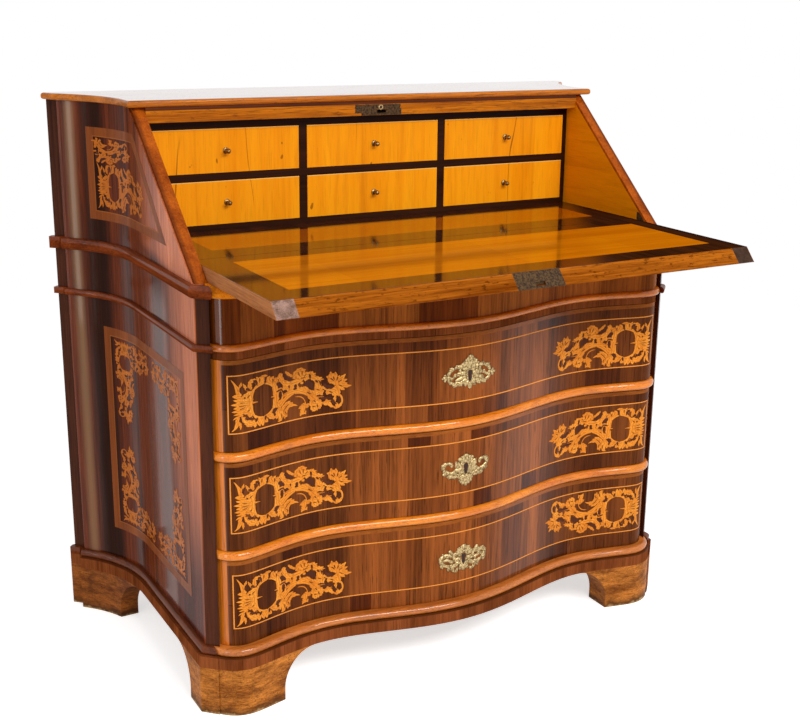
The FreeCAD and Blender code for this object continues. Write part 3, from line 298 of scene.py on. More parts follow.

# %% [markdown]
# ## Dark veneer of the case
# Sides, corner posts and frieze have the same walnut, upright. The strips run on round the side, so their
# joints are counted along the depth there and along the width on the frieze. Towards the front the side is
# painted paler as a painted sheen, and behind it lie a painted dark band of shade and a painted highlight
# streak.
# Its polish is bright only in upright patches.

# %% Case veneer
BRIGHT_PATCHES = ((18, 140, 100, 700, 0.4), (-140, 90, 780, 1040, 0.16), (-140, -84, 100, 780, 0.06),
                  (206, 232, 100, 780, 0.25), (318, 400, 100, 1040, 0.3))  # front, back, foot, head, weight
SIDE_STRIP, FRIEZE_STRIP, LEDGE_LEVEL = 96, 84, (740, 780)
PAINTED_SHEEN_BACK, PAINTED_SHEEN_FOOT, PAINTED_SHEEN_SHIFT = (-80, 50), (200, 450), 120  # farther back above the ledge
PAINTED_SHADE_STREAK, PAINTED_HIGHLIGHT_STREAK = (272, 322, 12), (332, 345, 6)
POST_FLAT, POST_BACK, POST_FOOT, FRIEZE_END = (480.2, 481.4), (0, 100), (200, 500), (460, 462)


def side_veneer():
    """Painted sheen: pale veneer in front; behind it a painted dark band of shade and a painted highlight
    streak.
    """
    made = wood("side_veneer", UPRIGHT, (44, 13, 4), (146, 66, 28), 20, 240)
    _, y, z = made.axes
    made.shade(leaves(made, y, SIDE_STRIP, 5.0).rise(-0.5, 0.5), 176, 150, 132)
    upper = z.rise(*LEDGE_LEVEL)
    # Painted sheen: paler veneer in front, where the polish shows glare.
    in_front = 1 - (y - upper * PAINTED_SHEEN_SHIFT).rise(*PAINTED_SHEEN_BACK)
    painted_sheen = in_front * z.rise(*PAINTED_SHEEN_FOOT) * (upper * 0.2 + 0.8)
    veneer(made, painted_sheen, UPRIGHT, (146, 64, 32), (232, 136, 90), 20, 240)
    # Painted shade: a dark band on the rear sweep.
    made.stain(y.between(*PAINTED_SHADE_STREAK) * 0.85, 24, 10, 5)
    # Painted highlight: a pale streak on the rear sweep.
    made.stain(y.between(*PAINTED_HIGHLIGHT_STREAK) * 0.6, 150, 112, 76)
    return polish(made, 0.16, 0.03, side_polish(made))


def side_polish(made):
    """The side's polish is bright in upright patches, and dulled elsewhere."""
    _, y, z = made.axes
    drifting = y + (made.noise((3, 9, 2), 2) - 0.5) * 50
    bright = 0.02
    for low, high, foot, head, weight in BRIGHT_PATCHES:
        bright = drifting.between(low, high, 12) * z.between(foot, head, 30) * weight + bright
    return bright


def frieze_veneer():
    made = wood("frieze_veneer", UPRIGHT, (96, 46, 14), (204, 116, 44), 20, 240)
    x = made.axes[0]
    made.shade(leaves(made, x, FRIEZE_STRIP, 5.0).rise(-0.5, 0.5), 176, 150, 132)
    veneer(made, abs(x).rise(*FRIEZE_END), UPRIGHT, *END_WOOD)
    return polish(made, 0.16, 0.03, end_polish(made, 1.0))


def post_veneer():
    """Corner posts: reddish where they carry on the side, nearly black on the canted face and behind."""
    made = wood("post_veneer", UPRIGHT, (34, 14, 7), (88, 44, 25), 20, 240)
    x, y, z = made.axes
    flat = abs(x).rise(*POST_FLAT) * (1 - y.rise(*POST_BACK)) * z.rise(*POST_FOOT)
    veneer(made, flat, UPRIGHT, (126, 52, 24), (214, 118, 66), 20, 240)
    return polish(made, 0.16, 0.03, 0.1)


side_finish, frieze_finish, post_finish = side_veneer(), frieze_veneer(), post_veneer()
print("case veneers ready")

# %% [markdown]
# ## Golden mouldings
# The half-round mouldings are of a lighter wood, polished, with dark specks where knocks filled with dirt.
# On the waist and the base only the upper bead is golden, with a dark veneered face under it. The lower part
# of each bead is darkened by level as painted shade, and the polish is kept to the rounding.

# %% Mouldings
PAINTED_SHADE_SHARE = 0.36


def moulding(name, dark, light, run, face=None, crests=(), shine=1.0, painted_bead_shade=0.0, rim=None):
    """A golden moulding. The face is the lowest and highest level of a dark veneered face on it, and each
    crest those of a rounding that shines and has painted shade on its lower part. Without crests all of it
    shines. The rim is the span of the width over which it darkens outwards."""
    made = wood(name, run, dark, light, 30, 320, 0.5)
    x, _, z = made.axes
    made.stain(made.noise((260, 260, 420), 3, 0.6).rise(0.66, 0.72) * 0.7, 70, 30, 10)
    made.stain(made.noise((14, 14, 30), 4, 0.65).rise(0.5, 0.7) * 0.35, 128, 62, 24)
    if face:
        on_face = z.between(*face)
        veneer(made, on_face, UPRIGHT, (92, 42, 16), (164, 90, 48), 20, 240)
        made.stain(on_face * leaves(made, x, 70, 2.0).rise(-0.5, 0.5) * 0.3, 50, 22, 10)
    coat = 0.0 if crests else shine
    for low, high in crests:
        coat = z.between(low, high, 1) * shine + coat
        # Painted shade: the lower part of each bead is darkened by level.
        under = 1 - z.rise(low, low + (high - low) * PAINTED_SHADE_SHARE)
        made.stain(z.between(low - 0.5, high) * under * painted_bead_shade, 52, 20, 5)
    if rim:
        made.stain(abs(x).rise(*rim) * 0.7, 84, 34, 12)
    return polish(made, 0.2, 0.0, coat, dents=0.05, blur=0.12)


moulding_finish = moulding("golden_moulding", (200, 94, 8), (255, 154, 38), LONG,
                           crests=[(280, 297), (455, 472)], painted_bead_shade=0.7)
waist_finish = moulding("waist_moulding", (192, 92, 10), (255, 150, 40), LONG,
                        (628, 642.5), [(643, 655)], painted_bead_shade=0.6)
base_finish = moulding("base_moulding", (150, 76, 24), (222, 130, 54), LONG,
                       (80, 107), [(107, 122)], painted_bead_shade=0.7)
side_moulding_finish = moulding("side_moulding", (74, 28, 10), (150, 70, 32), DEEP,
                                crests=[(745, 753), (649.5, 657), (641, 643.5)], shine=0.45)
side_base_finish = moulding("side_base_moulding", (62, 24, 8), (132, 64, 30), DEEP,
                            (80, 107), [(113, 123)], 0.45)
facing_finish = moulding("facing_strips", (116, 42, 2), (206, 102, 24), (1, 1, 0.05),
                         shine=0.12, rim=(470, 478))
print("mouldings ready")

# %% [markdown]
# ## The light inside
# The little drawers and the linings are of a yellow wood. The drawers have a few fine cracks and knots, and
# a pale line along the top edge of each. The levels of those edges are enough to place it.

# %% Interior wood
SMALL_TOPS = (865.6, 959.6)


def yellow_wood(name, run, dark, light):
    """A flamed wood that is still without polish."""
    made = wood(name, run, dark, light, 16, 150, 0.12, 0.6)
    flame = made.noise([g * 46 for g in run], 5, 0.65, 1.2)
    made.stain(flame.rise(0.5, 0.75) * 0.45, 190, 100, 10)
    return made


def small_drawer_wood():
    run = (1, 1, 0.05)
    made = yellow_wood("yellow_drawer_wood", run, (230, 128, 2), (255, 172, 22))
    crack = made.noise([g * 22 for g in run], 2, 0.5, 0.4, (0.4, 0.2, 0.7))
    line = 1 - abs(crack - 0.5).rise(0.0015, 0.006)
    made.stain(line * made.noise((7, 7, 3), 1).rise(0.52, 0.6) * 0.75, 120, 56, 8)
    made.stain(made.noise((70, 70, 44), 2, 0.4).rise(0.72, 0.77) * 0.7, 112, 52, 8)
    for top in SMALL_TOPS:
        made.stain(made.axes[2].between(top - 1.3, top + 0.5, 0.2) * 0.6, 255, 214, 128)
    return polish(made, 0.3, 0.08)


drawer_wood = small_drawer_wood()
plain_lining = yellow_wood("yellow_lining_wood", (1, 0.06, 1), (214, 124, 2), (248, 160, 10))
lining_wood = polish(plain_lining, 0.3, 0.08)
print("interior woods ready")

# %% [markdown]
# ## The writing surface
# The bed and the open fall are golden veneer inside a dark cross-laid border, under a hard polish that
# mirrors the little drawers and is worn dull at the right front corner. The fall's edges are bare wood, its
# clamps show end grain at the front, and its underside, which is the outer face when it is shut, has the
# dark veneer of the case. The levels of the board tell these faces apart.

# %% Writing surface
FIELDS = ((411, -313, -95, 6), (402, 8, 124, 0))  # half width, front, back and offset, of fall and bed
BOARD_TOP, BOARD_UNDER, HINGE_LINE = 776.3, 752.3, -53.3
CLAMP_START, CLAMP_END = 421.2, 457.2
WORN_CORNER, WORN_SLANT, FIELD_STRIP = (330, 400), 0.64, 150


def writing_surface():
    made = wood("writing_surface", LONG, (182, 94, 0), (226, 132, 6), 18, 190, 0.15)
    x, y, z = made.axes
    on_bed = y.rise(HINGE_LINE, HINGE_LINE + 1)
    made.stain(leaves(made, x, FIELD_STRIP, 4.0).rise(-0.5, 0.5) * 0.3, 176, 88, 6)
    made.stain(on_bed * 0.75, 150, 72, 0)
    fields = 0
    for half, front, back, offset in FIELDS:
        fields = y.between(front, back) * (1 - abs(x - offset).rise(half - 0.5, half + 0.5)) + fields
    veneer(made, 1 - fields, DEEP, (34, 14, 5), (76, 38, 16), 30)
    top = z.rise(BOARD_TOP - 0.6, BOARD_TOP - 0.2)
    bare_edges(made, 1 - top)
    under = (1 - z.rise(BOARD_UNDER + 0.2, BOARD_UNDER + 0.6)) * (1 - on_bed)
    veneer(made, under, DEEP, *WALNUT, 20, 300, 0.4, 0.6)
    made.shade(leaves(made, x, WIDE_STRIP, 9.0).rise(-0.5, 0.4), 160, 128, 104, where=under)
    worn = (x - y * WORN_SLANT).rise(*WORN_CORNER)
    return polish(made, 0.13, 0.0, (1 - worn) * top * 0.97)


def bare_edges(made, bare):
    """The fall's edges: stained wood in front, end grain on the clamps and a paler left end."""
    x = made.axes[0]
    veneer(made, bare, LONG, (100, 42, 4), (184, 102, 24), 46, 330, 0.6, 1.4)
    made.stain(made.noise((60, 160, 160), 4, 0.65).rise(0.56, 0.66) * bare * 0.7, 74, 30, 4)
    clamps = abs(x).between(CLAMP_START, CLAMP_END - 0.6) * bare
    veneer(made, clamps, (1, 1, 1), (98, 72, 58), (172, 136, 122), 90, 620, 0.6, 1.2)
    made.stain(clamps * x.rise(-10, 10) * 0.85, 44, 28, 18)
    left_end = (1 - x.rise(0.1 - CLAMP_END, 0.6 - CLAMP_END)) * bare
    veneer(made, left_end * 0.85, DEEP, (138, 78, 40), (206, 138, 90), 46, 330)


writing_finish = writing_surface()
print("writing surface:", len(writing_finish.node_tree.nodes), "nodes")

# %% [markdown]
# ## Black strips, plain boards and metals
# The framing of the little drawers is blackened. Drawer boxes are plain softwood. Brass is worn and dull in
# its hollows, and iron is brown with rust.

# %% Plain wood and metal
def plain_wood(name, dark, light, rough, gloss):
    return polish(wood(name, LONG, dark, light, 26, 210, 0.3), rough, gloss, dents=0.35)


def metal(name, dark, light, rough, metallic, size=120, gloss=0.5):
    made = Finish(name)
    patch = made.noise((size,) * 3, 5, 0.65)
    colour = made.mix(patch.rise(0.35, 0.65), linear(*dark), linear(*light))
    return made.finish(Base_Color=colour, Roughness=(patch - 0.5) * 0.4 + rough, Specular_IOR_Level=gloss,
                       Metallic=(patch - 0.5) * 0.2 + metallic,
                       Normal=made.bump(made.noise((size * 7,) * 3), 0.3, 0.0004))


black_finish = plain_wood("black_strips", (24, 8, 2), (58, 28, 14), 0.3, 0.05)
box_finish = plain_wood("plain_boards", (128, 84, 44), (190, 140, 84), 0.6, 0.1)
brass_finish = metal("worn_brass", (112, 84, 44), (222, 196, 140), 0.34, 0.6, 300)
iron_finish = metal("brown_iron", (40, 25, 12), (92, 68, 42), 0.6, 0.05, 260, 0.12)
print("plain woods and metals ready")

# %% [markdown]
# ## Back, top, rail and feet
# These woods show the most use. The back is of rough upright boards, dark at their joints. The top has a dark
# polish and a golden edge. The rail over the little drawers is golden from rubbing, with a painted shadow
# along its top under the top's edge, and the slot for the bolt is painted near black as painted shade. The
# feet are worn walnut, dirty near the floor and pale at the lower edge, and the back feet are a darker copy,
# as painted shade.

# %% Worn woods
BACK_BOARD, TOP_LEVEL, RAIL_PAINTED_SHADOW = 185, (1014.4, 1015.1), (996.5, 997.5)
BOLT_SLOT_END, BOLT_SLOT_DEPTH, BOLT_SLOT_HEAD = (14, 15), (155, 190), (989, 990)
FOOT_DIRT, FOOT_RIM, FOOT_UNEVEN = (12, 30), (9, 15), 20


def back_boards():
    made = wood("back_boards", UPRIGHT, (92, 58, 32), (168, 116, 68), 30, 230, 0.4, 1.2)
    x = made.axes[0]
    made.shade(leaves(made, x, BACK_BOARD, 6.0).rise(-0.5, 0.5), 178, 160, 146)
    knots = made.noise((11, 11, 7), 1, 0.3, move=(0.3, 0, 0.2)).rise(0.72, 0.76)
    stains = made.noise((4, 4, 2.5), 5, 0.65).rise(0.5, 0.7)
    made.stain((knots * 0.75).most(stains * 0.4), 58, 34, 18)
    joint = abs(strips(x, BACK_BOARD, 6.0) % 1 - 0.5).rise(0.49, 0.496)
    made.stain(joint, 22, 13, 7)
    made.height -= joint * 4 + knots
    return polish(made, 0.65, 0.1, depth=0.0006, dents=0.5)


def top_wood():
    made = wood("polished_top", LONG, (96, 44, 16), (176, 96, 42), 26, 210, 0.3)
    on_top = made.axes[2].rise(*TOP_LEVEL)
    veneer(made, 1 - on_top, LONG, (150, 76, 14), (222, 130, 44), 40, 330, 0.7)
    specks = made.noise((240, 400, 400), 3, 0.6).rise(0.62, 0.7)
    made.stain((1 - on_top) * specks * 0.8, 66, 30, 10)
    return polish(made, 0.12, 0.1, on_top * 0.85)


def rail_wood():
    made = wood("top_rail_wood", LONG, (138, 64, 2), (214, 124, 16), 60, 300, 0.5, 1.4)
    x, y, z = made.axes
    made.stain(made.noise((30, 90, 150), 5, 0.7, 0.8).rise(0.53, 0.68) * 0.6, 88, 40, 6)
    # Painted shadow: a dark band along the top of the rail, under the top's edge.
    veneer(made, z.rise(*RAIL_PAINTED_SHADOW), LONG, (48, 18, 8), (112, 54, 22))
    # Painted shade: the inside of the bolt slot is near black.
    slot = (1 - abs(x).rise(*BOLT_SLOT_END)) * y.between(*BOLT_SLOT_DEPTH) * (1 - z.rise(*BOLT_SLOT_HEAD))
    made.stain(slot, 12, 7, 4)
    return polish(made, 0.3, 0.1)


def foot_wood(name, dark, light):
    made = wood(name, (0.25, 0.25, 1), dark, light, 60, 330, 0.6, 1.3)
    specks = made.noise((320, 320, 420), 3, 0.65).rise(0.58, 0.68)
    patches = made.noise((22, 22, 34), 5, 0.7, 0.6).rise(0.5, 0.72)
    made.stain((specks * 0.75).most(patches * 0.6), 66, 32, 10)
    uneven = made.axes[2] + made.noise((60, 60, 10), 3, 0.6) * FOOT_UNEVEN
    made.stain((1 - uneven.rise(*FOOT_DIRT)) * 0.75, 58, 34, 16)
    made.stain((1 - uneven.rise(*FOOT_RIM)) * 0.7, 196, 162, 112)
    made.height -= specks * 2 + patches
    return polish(made, 0.45, 0.08, depth=0.0008, dents=0.5)


back_finish, top_finish, rail_finish = back_boards(), top_wood(), rail_wood()
front_foot_finish = foot_wood("front_foot_walnut", (118, 60, 14), (220, 136, 56))
# The back feet are a darker copy of the front feet's walnut: painted shade.
shaded_back_foot_finish = foot_wood("back_foot_walnut", (92, 42, 10), (172, 98, 38))
print("worn woods ready")

# %% [markdown]
# ## Dressing the solids
# Each solid takes its finish by the start of its name, so a table is enough. What isn't in it is ironwork.

# %% Put the finishes on the solids
FINISH_OF = {
    "drawer_front": drawer_finish, "side_left": side_finish, "side_right": side_finish,
    "front_stiles": post_finish, "back_stiles": post_finish, "frieze": frieze_finish,
    "divider": moulding_finish, "ledge": moulding_finish, "waist_rail": waist_finish,
    "base_front": base_finish, "base_sides": side_base_finish, "side_mouldings": side_moulding_finish,
    "facings": facing_finish, "small_": drawer_wood, "linings": lining_wood,
    "gallery_frame": black_finish, "drawer_box": box_finish, "dust_boards": box_finish,
    "bottom_board": box_finish, "back_panel": back_finish, "top_rail": rail_finish,
    "feet_front": front_foot_finish, "feet_back": shaded_back_foot_finish, "top_board": top_finish,
    "knob": brass_finish, "escutcheon": brass_finish,
    "writing_bed": writing_finish, "fall_board": writing_finish, "fall_clamps": writing_finish,
}
for name, piece in nodes.items():
    found = [finish for start, finish in FINISH_OF.items() if name.startswith(start)]
    for slot in piece.material_slots:
        slot.material = found[0] if found else iron_finish
print("solids dressed:", len(nodes))

# %% [markdown]
# ## The curve of the front
# In plan the drawer fronts bow out in the middle, hollow at both flanks, swell again and turn into rounded
# ends. Inlays have to lie on that curve, so its depth is worked out at any distance from the middle, from
# the same crests as the solids: a cubic curve that is level at each crest, and a quarter circle at the ends.
# From here on all drawings and surfaces are in millimetres, and become metres when a piece is fitted.

# %% Depth of the serpentine front
CASE_FRONT = -120.063
CRESTS = ((0.0, 58.0, 325.0), (276.0, 9.0, 240.0), (421.0, 33.0, 42.0))  # across, forwards, radius
CREST_SHARE = 2 / 3


def front_y(x):
    """How far back the drawer face is at a distance x from the middle."""
    far = abs(x)
    end, depth, radius = CRESTS[-1]
    if far >= end:
        drop = min(far - end, radius)
        return CASE_FRONT - (depth - radius + math.sqrt(radius ** 2 - drop ** 2))
    for (x0, d0, r0), (x1, d1, r1) in zip(CRESTS, CRESTS[1:]):
        if far <= x1:
            fall = abs(d1 - d0)
            a, b = x0 + math.sqrt(CREST_SHARE * fall * r0), x1 - math.sqrt(CREST_SHARE * fall * r1)
            low, high = 0.0, 1.0
            for _ in range(30):
                t = (low + high) / 2
                s = 1 - t
                at = s ** 3 * x0 + 3 * s * s * t * a + 3 * s * t * t * b + t ** 3 * x1
                low, high = (t, high) if at < far else (low, t)
            return CASE_FRONT - (d0 * (s ** 3 + 3 * s * s * t) + d1 * (3 * s * t * t + t ** 3))


print("front at the middle and ends:", round(front_y(0), 1), round(front_y(463), 1))

# %% [markdown]
# ## Leaf-work in the flat
# The ends of the drawers are inlaid with leaf scrolls in a light orange wood: a shell at the edge, a ring
# of leaves round a waisted dark field, a great scroll, and a flower. An inlayer cuts such leaves from a
# drawing. Here each leaf is one bent stroke, from its root over a bend to its tip, with a greatest width.
# A cross edge at the root is extruded along the bend and narrowed to the tip. All are measured from the
# panel's outer lower corner, and laid on the curve later.

# %% The drawing of one panel
FLAMES = [
    (18, 62.5, 16.5, 77, 5, 92, 10.8), (14, 19.5, 12.5, 8.5, 4, 3.5, 7.4),
    (31.5, 47, 44.5, 48.5, 53, 47, 5.2), (93, 47.5, 85.5, 49.5, 77.5, 49.5, 5.6),
]
STEMS = [
    (41, 49, 38, 63, 46.5, 71, 5.8), (44.5, 69.5, 53, 77, 64.5, 76.5, 5.4),
    (63, 76.5, 76.5, 77, 83, 66, 5.4), (82, 68, 87, 58.5, 83.5, 51, 6.5),
    (83.5, 45.5, 87, 37, 82, 28.5, 6.5), (83, 30.5, 76.5, 19.5, 63, 18.5, 5.4),
    (64.5, 18.5, 51.5, 16.5, 44, 26, 5.4), (45.5, 24, 38, 32, 41, 45, 5.4),
    (87, 71.5, 98, 72, 105.5, 66.5, 5.8), (88, 59.5, 96.5, 57.5, 105.5, 62.5, 5.4),
    (92.5, 58.5, 101.5, 52, 100, 40, 5.4), (100.5, 57.5, 112, 59, 113, 51, 5),
    (100, 47, 108, 45.5, 114.5, 52.5, 5), (100.5, 77, 107, 66, 125.5, 68, 6.5),
    (95.5, 27.5, 104.5, 44, 125.5, 48.5, 7.3), (121.5, 48, 142, 50.5, 152.5, 37.5, 8),
    (101.5, 45.5, 118, 55, 137, 51.5, 6.5), (165.5, 60.5, 167.5, 50.5, 162.5, 43.5, 6.5),
    (125.5, 40, 141.5, 40.5, 145, 26.5, 1.9), (144.5, 28.5, 146, 23.5, 142.5, 18, 2.3),
    (177.5, 49.5, 186.5, 39.5, 202, 44.5, 4.6), (204.5, 34.5, 215.5, 28.5, 211.5, 13.5, 3.3),
    (108, 47, 121.5, 53.5, 138, 48.5, 7.7),
]
LEAVES = [
    (16.5, 69.5, 20, 78.5, 22, 86.5, 6.5), (17.5, 64.5, 12, 65, 6.5, 63.5, 4.3),
    (24.5, 31, 12.5, 27, 11.5, 13.5, 7.4), (15.5, 20.5, 20.5, 13.5, 18.5, 5.5, 5.2),
    (18, 28.5, 11.5, 28, 7, 23.5, 3.5), (37.5, 52, 23, 59, 6.5, 63, 7.6),
    (37.5, 50.5, 21.5, 54, 7.5, 57, 9.2), (38, 48.5, 21.5, 49.5, 4, 49, 9.6),
    (38, 46, 21.5, 44.5, 7.5, 42.5, 9.6), (37, 43.5, 21.5, 38, 5, 37, 9.2),
    (37, 41, 23, 33.5, 7.5, 31.5, 6.5), (41.5, 58.5, 32, 47, 40.5, 35.5, 13),
    (30.5, 60.5, 32, 54.5, 39, 52, 10), (33.5, 33.5, 29.5, 38.5, 37, 43.5, 10),
    (81.5, 43.5, 86.5, 44.5, 91.5, 43.5, 6.5), (40.5, 70.5, 33, 80.5, 41.5, 89, 8.7),
    (35, 68.5, 29, 75.5, 24.5, 84, 5.6), (37, 82, 44, 87.5, 51.5, 84.5, 6.9),
    (51, 74.5, 56, 85.5, 49.5, 90, 7.4), (54, 77, 63, 82, 61, 91, 9.5), (59, 85.5, 64.5, 89.5, 72, 88, 6.5),
    (69.5, 75, 72.5, 82, 77, 86.5, 8.7), (73, 76, 81.5, 81, 84.5, 84.5, 7.4),
    (77.5, 73.5, 86.5, 77, 89.5, 81.5, 7.8), (41.5, 66, 34, 66, 29.5, 62, 7.4),
    (21.5, 28.5, 24.5, 14.5, 40, 18.5, 7.4), (26.5, 18.5, 34.5, 7.5, 46.5, 12, 9.1),
    (41.5, 18.5, 48, 8.5, 44.5, 4.5, 8.7), (48, 18, 55, 12, 55.5, 4, 9.5),
    (56.5, 18, 62, 10.5, 61, 3.5, 8.7), (62, 18.5, 68, 11, 71.5, 8.5, 9.1), (70, 21, 78, 12, 89, 13, 8.2),
    (76.5, 24, 81.5, 17, 82, 9.5, 5.6), (84.5, 66, 91.5, 70.5, 96.5, 88, 10),
    (90.5, 69.5, 100, 75.5, 103.5, 84, 8.7), (84.5, 63.5, 90.5, 50.5, 89, 32, 12.1),
    (85.5, 35.5, 94.5, 31, 101.5, 43.5, 11.7), (88, 38.5, 90.5, 28.5, 99, 22, 10.4),
    (90.5, 28.5, 99, 20.5, 92.5, 5.5, 11.3), (97.5, 22, 105.5, 15.5, 104.5, 5.5, 10),
    (91.5, 15.5, 86.5, 12, 78, 13.5, 5.2), (99.5, 8.5, 96.5, 4.5, 90.5, 4, 4.8),
    (106.5, 88.5, 113, 80, 126, 74.5, 5.6), (98, 72, 103, 68.5, 108, 63.5, 8.7),
    (121.5, 73.5, 128, 83.5, 140, 89, 10.8), (124.5, 77, 136.5, 83.5, 147, 84.5, 10.4),
    (114.5, 65, 128, 68.5, 141.5, 75.5, 13), (124.5, 70.5, 141.5, 68, 148.5, 80.5, 14.3),
    (138, 70.5, 148, 73.5, 157.5, 79.5, 10), (144.5, 68, 154.5, 72, 165.5, 75.5, 9.1),
    (153, 70.5, 162, 64.5, 164.5, 73, 7.8), (155.5, 68, 164.5, 63.5, 177.5, 66.5, 8.2),
    (103, 63.5, 118, 58.5, 133.5, 64.5, 10), (108, 62, 110, 58.5, 109.5, 53.5, 5.6),
    (116.5, 62, 118.5, 57, 117.5, 52, 5.2), (124.5, 63, 131.5, 58, 131.5, 52, 5.6),
    (162, 62, 168, 60.5, 172.5, 53.5, 7.4), (150, 40, 156.5, 33.5, 159.5, 24.5, 8.7),
    (131.5, 54.5, 139.5, 48, 149, 55, 8.7), (147, 46.5, 157, 39.5, 165.5, 44, 9.5),
    (144.5, 54, 149, 48.5, 155.5, 43.5, 6.5), (135.5, 62.5, 140, 62.5, 143, 61, 4.8),
    (97.5, 16.5, 103, 32, 117, 35, 7.8), (99, 15, 111.5, 33.5, 130.5, 23.5, 7.4),
    (104, 7.5, 104.5, 22, 115, 29, 9.1), (142.5, 23.5, 138, 22, 131.5, 17.5, 5.6),
    (139, 20, 148, 21.5, 156, 23.5, 6.1), (139.5, 19.5, 143.5, 12, 146, 5.5, 6.9),
    (140, 18.5, 138.5, 10.5, 134.5, 4, 7.8), (141.5, 26.5, 142.5, 22, 143.5, 17, 6.5),
    (144.5, 18.5, 149, 18, 152, 18.5, 3.9), (159.5, 28.5, 169.5, 30.5, 175.5, 23.5, 8.2),
    (156, 24, 164.5, 18.5, 167.5, 8.5, 11.3), (157.5, 27, 171.5, 20.5, 175.5, 14.5, 9.5),
    (154, 15, 161.5, 14, 167, 11, 8.2), (164.5, 23.5, 174.5, 21.5, 183.5, 18.5, 5.6),
    (156.5, 28.5, 154.5, 18.5, 163, 15.5, 9.5), (162.5, 43, 171.5, 52, 173.5, 62.5, 10.8),
    (164, 44.5, 173, 43.5, 179.5, 51, 10), (157.5, 36.5, 166.5, 35, 173.5, 43.5, 10.8),
    (159.5, 28, 164.5, 35.5, 164.5, 42.5, 10), (171.5, 40.5, 178, 40, 180, 43.5, 5.6),
    (164.5, 33.5, 174.5, 33.5, 180.5, 31, 3.5), (171.5, 62, 174.5, 63.5, 180.5, 62.5, 3.5),
    (199, 54.5, 193, 65.5, 192, 75, 9.5), (199.5, 54.5, 202, 65.5, 200.5, 73.5, 8.7),
    (199, 55.5, 191.5, 65.5, 184, 66.5, 9.5), (200.5, 54.5, 206.5, 62, 208.5, 66.5, 7.8),
    (201.5, 53.5, 211.5, 60.5, 219, 68, 8.2), (201.5, 53.5, 213, 55.5, 222, 58.5, 8.2),
    (202, 52, 213, 50.5, 222.5, 51.5, 7.4), (201.5, 52, 216.5, 44.5, 229.5, 47, 8.2),
    (201.5, 52, 211.5, 43.5, 217, 39.5, 8.7), (199.5, 52, 204.5, 43.5, 205.5, 35.5, 9.1),
    (188, 60.5, 194.5, 57, 201.5, 53.5, 10), (198, 60.5, 203, 52, 209.5, 52, 13),
    (200.5, 47, 208.5, 40.5, 206.5, 28.5, 7.8), (199, 44.5, 192, 35.5, 202.5, 30, 7.8),
    (186.5, 34, 183.5, 40.5, 189.5, 44.5, 5.6), (189.5, 38.5, 194.5, 38, 198, 35.5, 4.8),
    (212.5, 18.5, 208, 10, 201.5, 9, 5.6), (184.5, 26, 189, 12, 200, 11, 6.5),
    (189.5, 17, 181.5, 17, 179.5, 23.5, 5.2), (201, 30.5, 197.5, 23.5, 200.5, 18.5, 6.1),
    (39, 51, 29.5, 63, 37, 68.5, 13), (29.5, 66, 26.5, 58.5, 34, 52, 9.5),
    (23, 63, 28, 60.5, 31.5, 55.5, 7.4), (35.5, 42, 31.5, 32, 40.5, 28.5, 11.7),
    (24.5, 33.5, 29.5, 35.5, 37, 32, 8.7), (38, 32, 34, 27, 41.5, 22.5, 8.7),
    (23, 27, 29.5, 15.5, 39.5, 15.5, 10), (31.5, 15.5, 39.5, 11, 48, 15.5, 8.7),
    (48, 86, 53, 82, 53, 75.5, 10), (55.5, 88.5, 59.5, 83.5, 56.5, 77, 10.8),
    (64, 87, 61.5, 82, 64, 77, 8.7), (74, 83.5, 76.5, 78.5, 81.5, 72, 12.1),
    (82, 78.5, 86.5, 73.5, 91.5, 72, 10.8), (91.5, 82, 96.5, 78.5, 98, 70.5, 13),
    (95.5, 87, 98, 80.5, 104.5, 73.5, 10), (84.5, 73.5, 89, 63.5, 88, 52, 10.8),
    (104.5, 68.5, 111.5, 64.5, 121.5, 64.5, 10.8), (114.5, 63, 124.5, 66, 138, 66, 13),
    (104.5, 64.5, 104.5, 58.5, 102.5, 55.5, 7.8), (113, 63, 114.5, 58.5, 113, 53.5, 6.5),
    (120.5, 62, 122, 58.5, 121, 53.5, 6.5), (131.5, 73.5, 139.5, 77, 148, 73.5, 15.2),
    (134.5, 82, 141.5, 83.5, 144.5, 78.5, 13), (128, 80.5, 134.5, 77, 141.5, 68.5, 13),
    (144.5, 72, 148, 67, 146.5, 62, 8.7), (153, 77, 158, 75.5, 163, 68.5, 10.8),
    (164.5, 68.5, 169.5, 66, 172.5, 62, 7.4), (141.5, 53.5, 146.5, 52, 148, 45.5, 10.8),
    (148, 43.5, 158, 37, 161.5, 28.5, 13), (154.5, 37, 163, 32, 166.5, 23.5, 13),
    (166.5, 52, 173, 48.5, 176.5, 43.5, 12.1), (168, 58.5, 171.5, 52, 169.5, 45.5, 10.8),
    (173, 43.5, 176.5, 37, 173, 33.5, 8.7), (91.5, 23.5, 98, 15.5, 98, 7, 13),
    (99.5, 18.5, 106.5, 12, 109.5, 8.5, 8.7), (88, 28.5, 93, 18.5, 88, 8.5, 8.7),
    (104.5, 23.5, 113, 30.5, 121.5, 31, 7.8), (158, 22, 164.5, 23.5, 173, 18.5, 13),
    (158, 18.5, 159.5, 12, 164.5, 8.5, 10.8), (168, 15.5, 171.5, 13.5, 174, 12, 6.5),
    (186.5, 63.5, 193, 63.5, 201.5, 57, 15.2), (189.5, 70.5, 196.5, 65.5, 201.5, 55.5, 13),
    (196.5, 70.5, 199.5, 63.5, 203, 53.5, 13), (204.5, 60.5, 208, 53.5, 206.5, 45.5, 15.2),
    (209.5, 62, 213, 58.5, 209.5, 50.5, 10.8), (204.5, 50.5, 211.5, 47, 213, 42, 10.8),
    (191.5, 43.5, 198, 43.5, 204.5, 38.5, 10.8), (184.5, 40.5, 189.5, 37, 196.5, 38.5, 7.4),
    (198, 38.5, 203, 35.5, 204.5, 30.5, 9.5), (186.5, 22, 189.5, 17, 194.5, 13.5, 7.8),
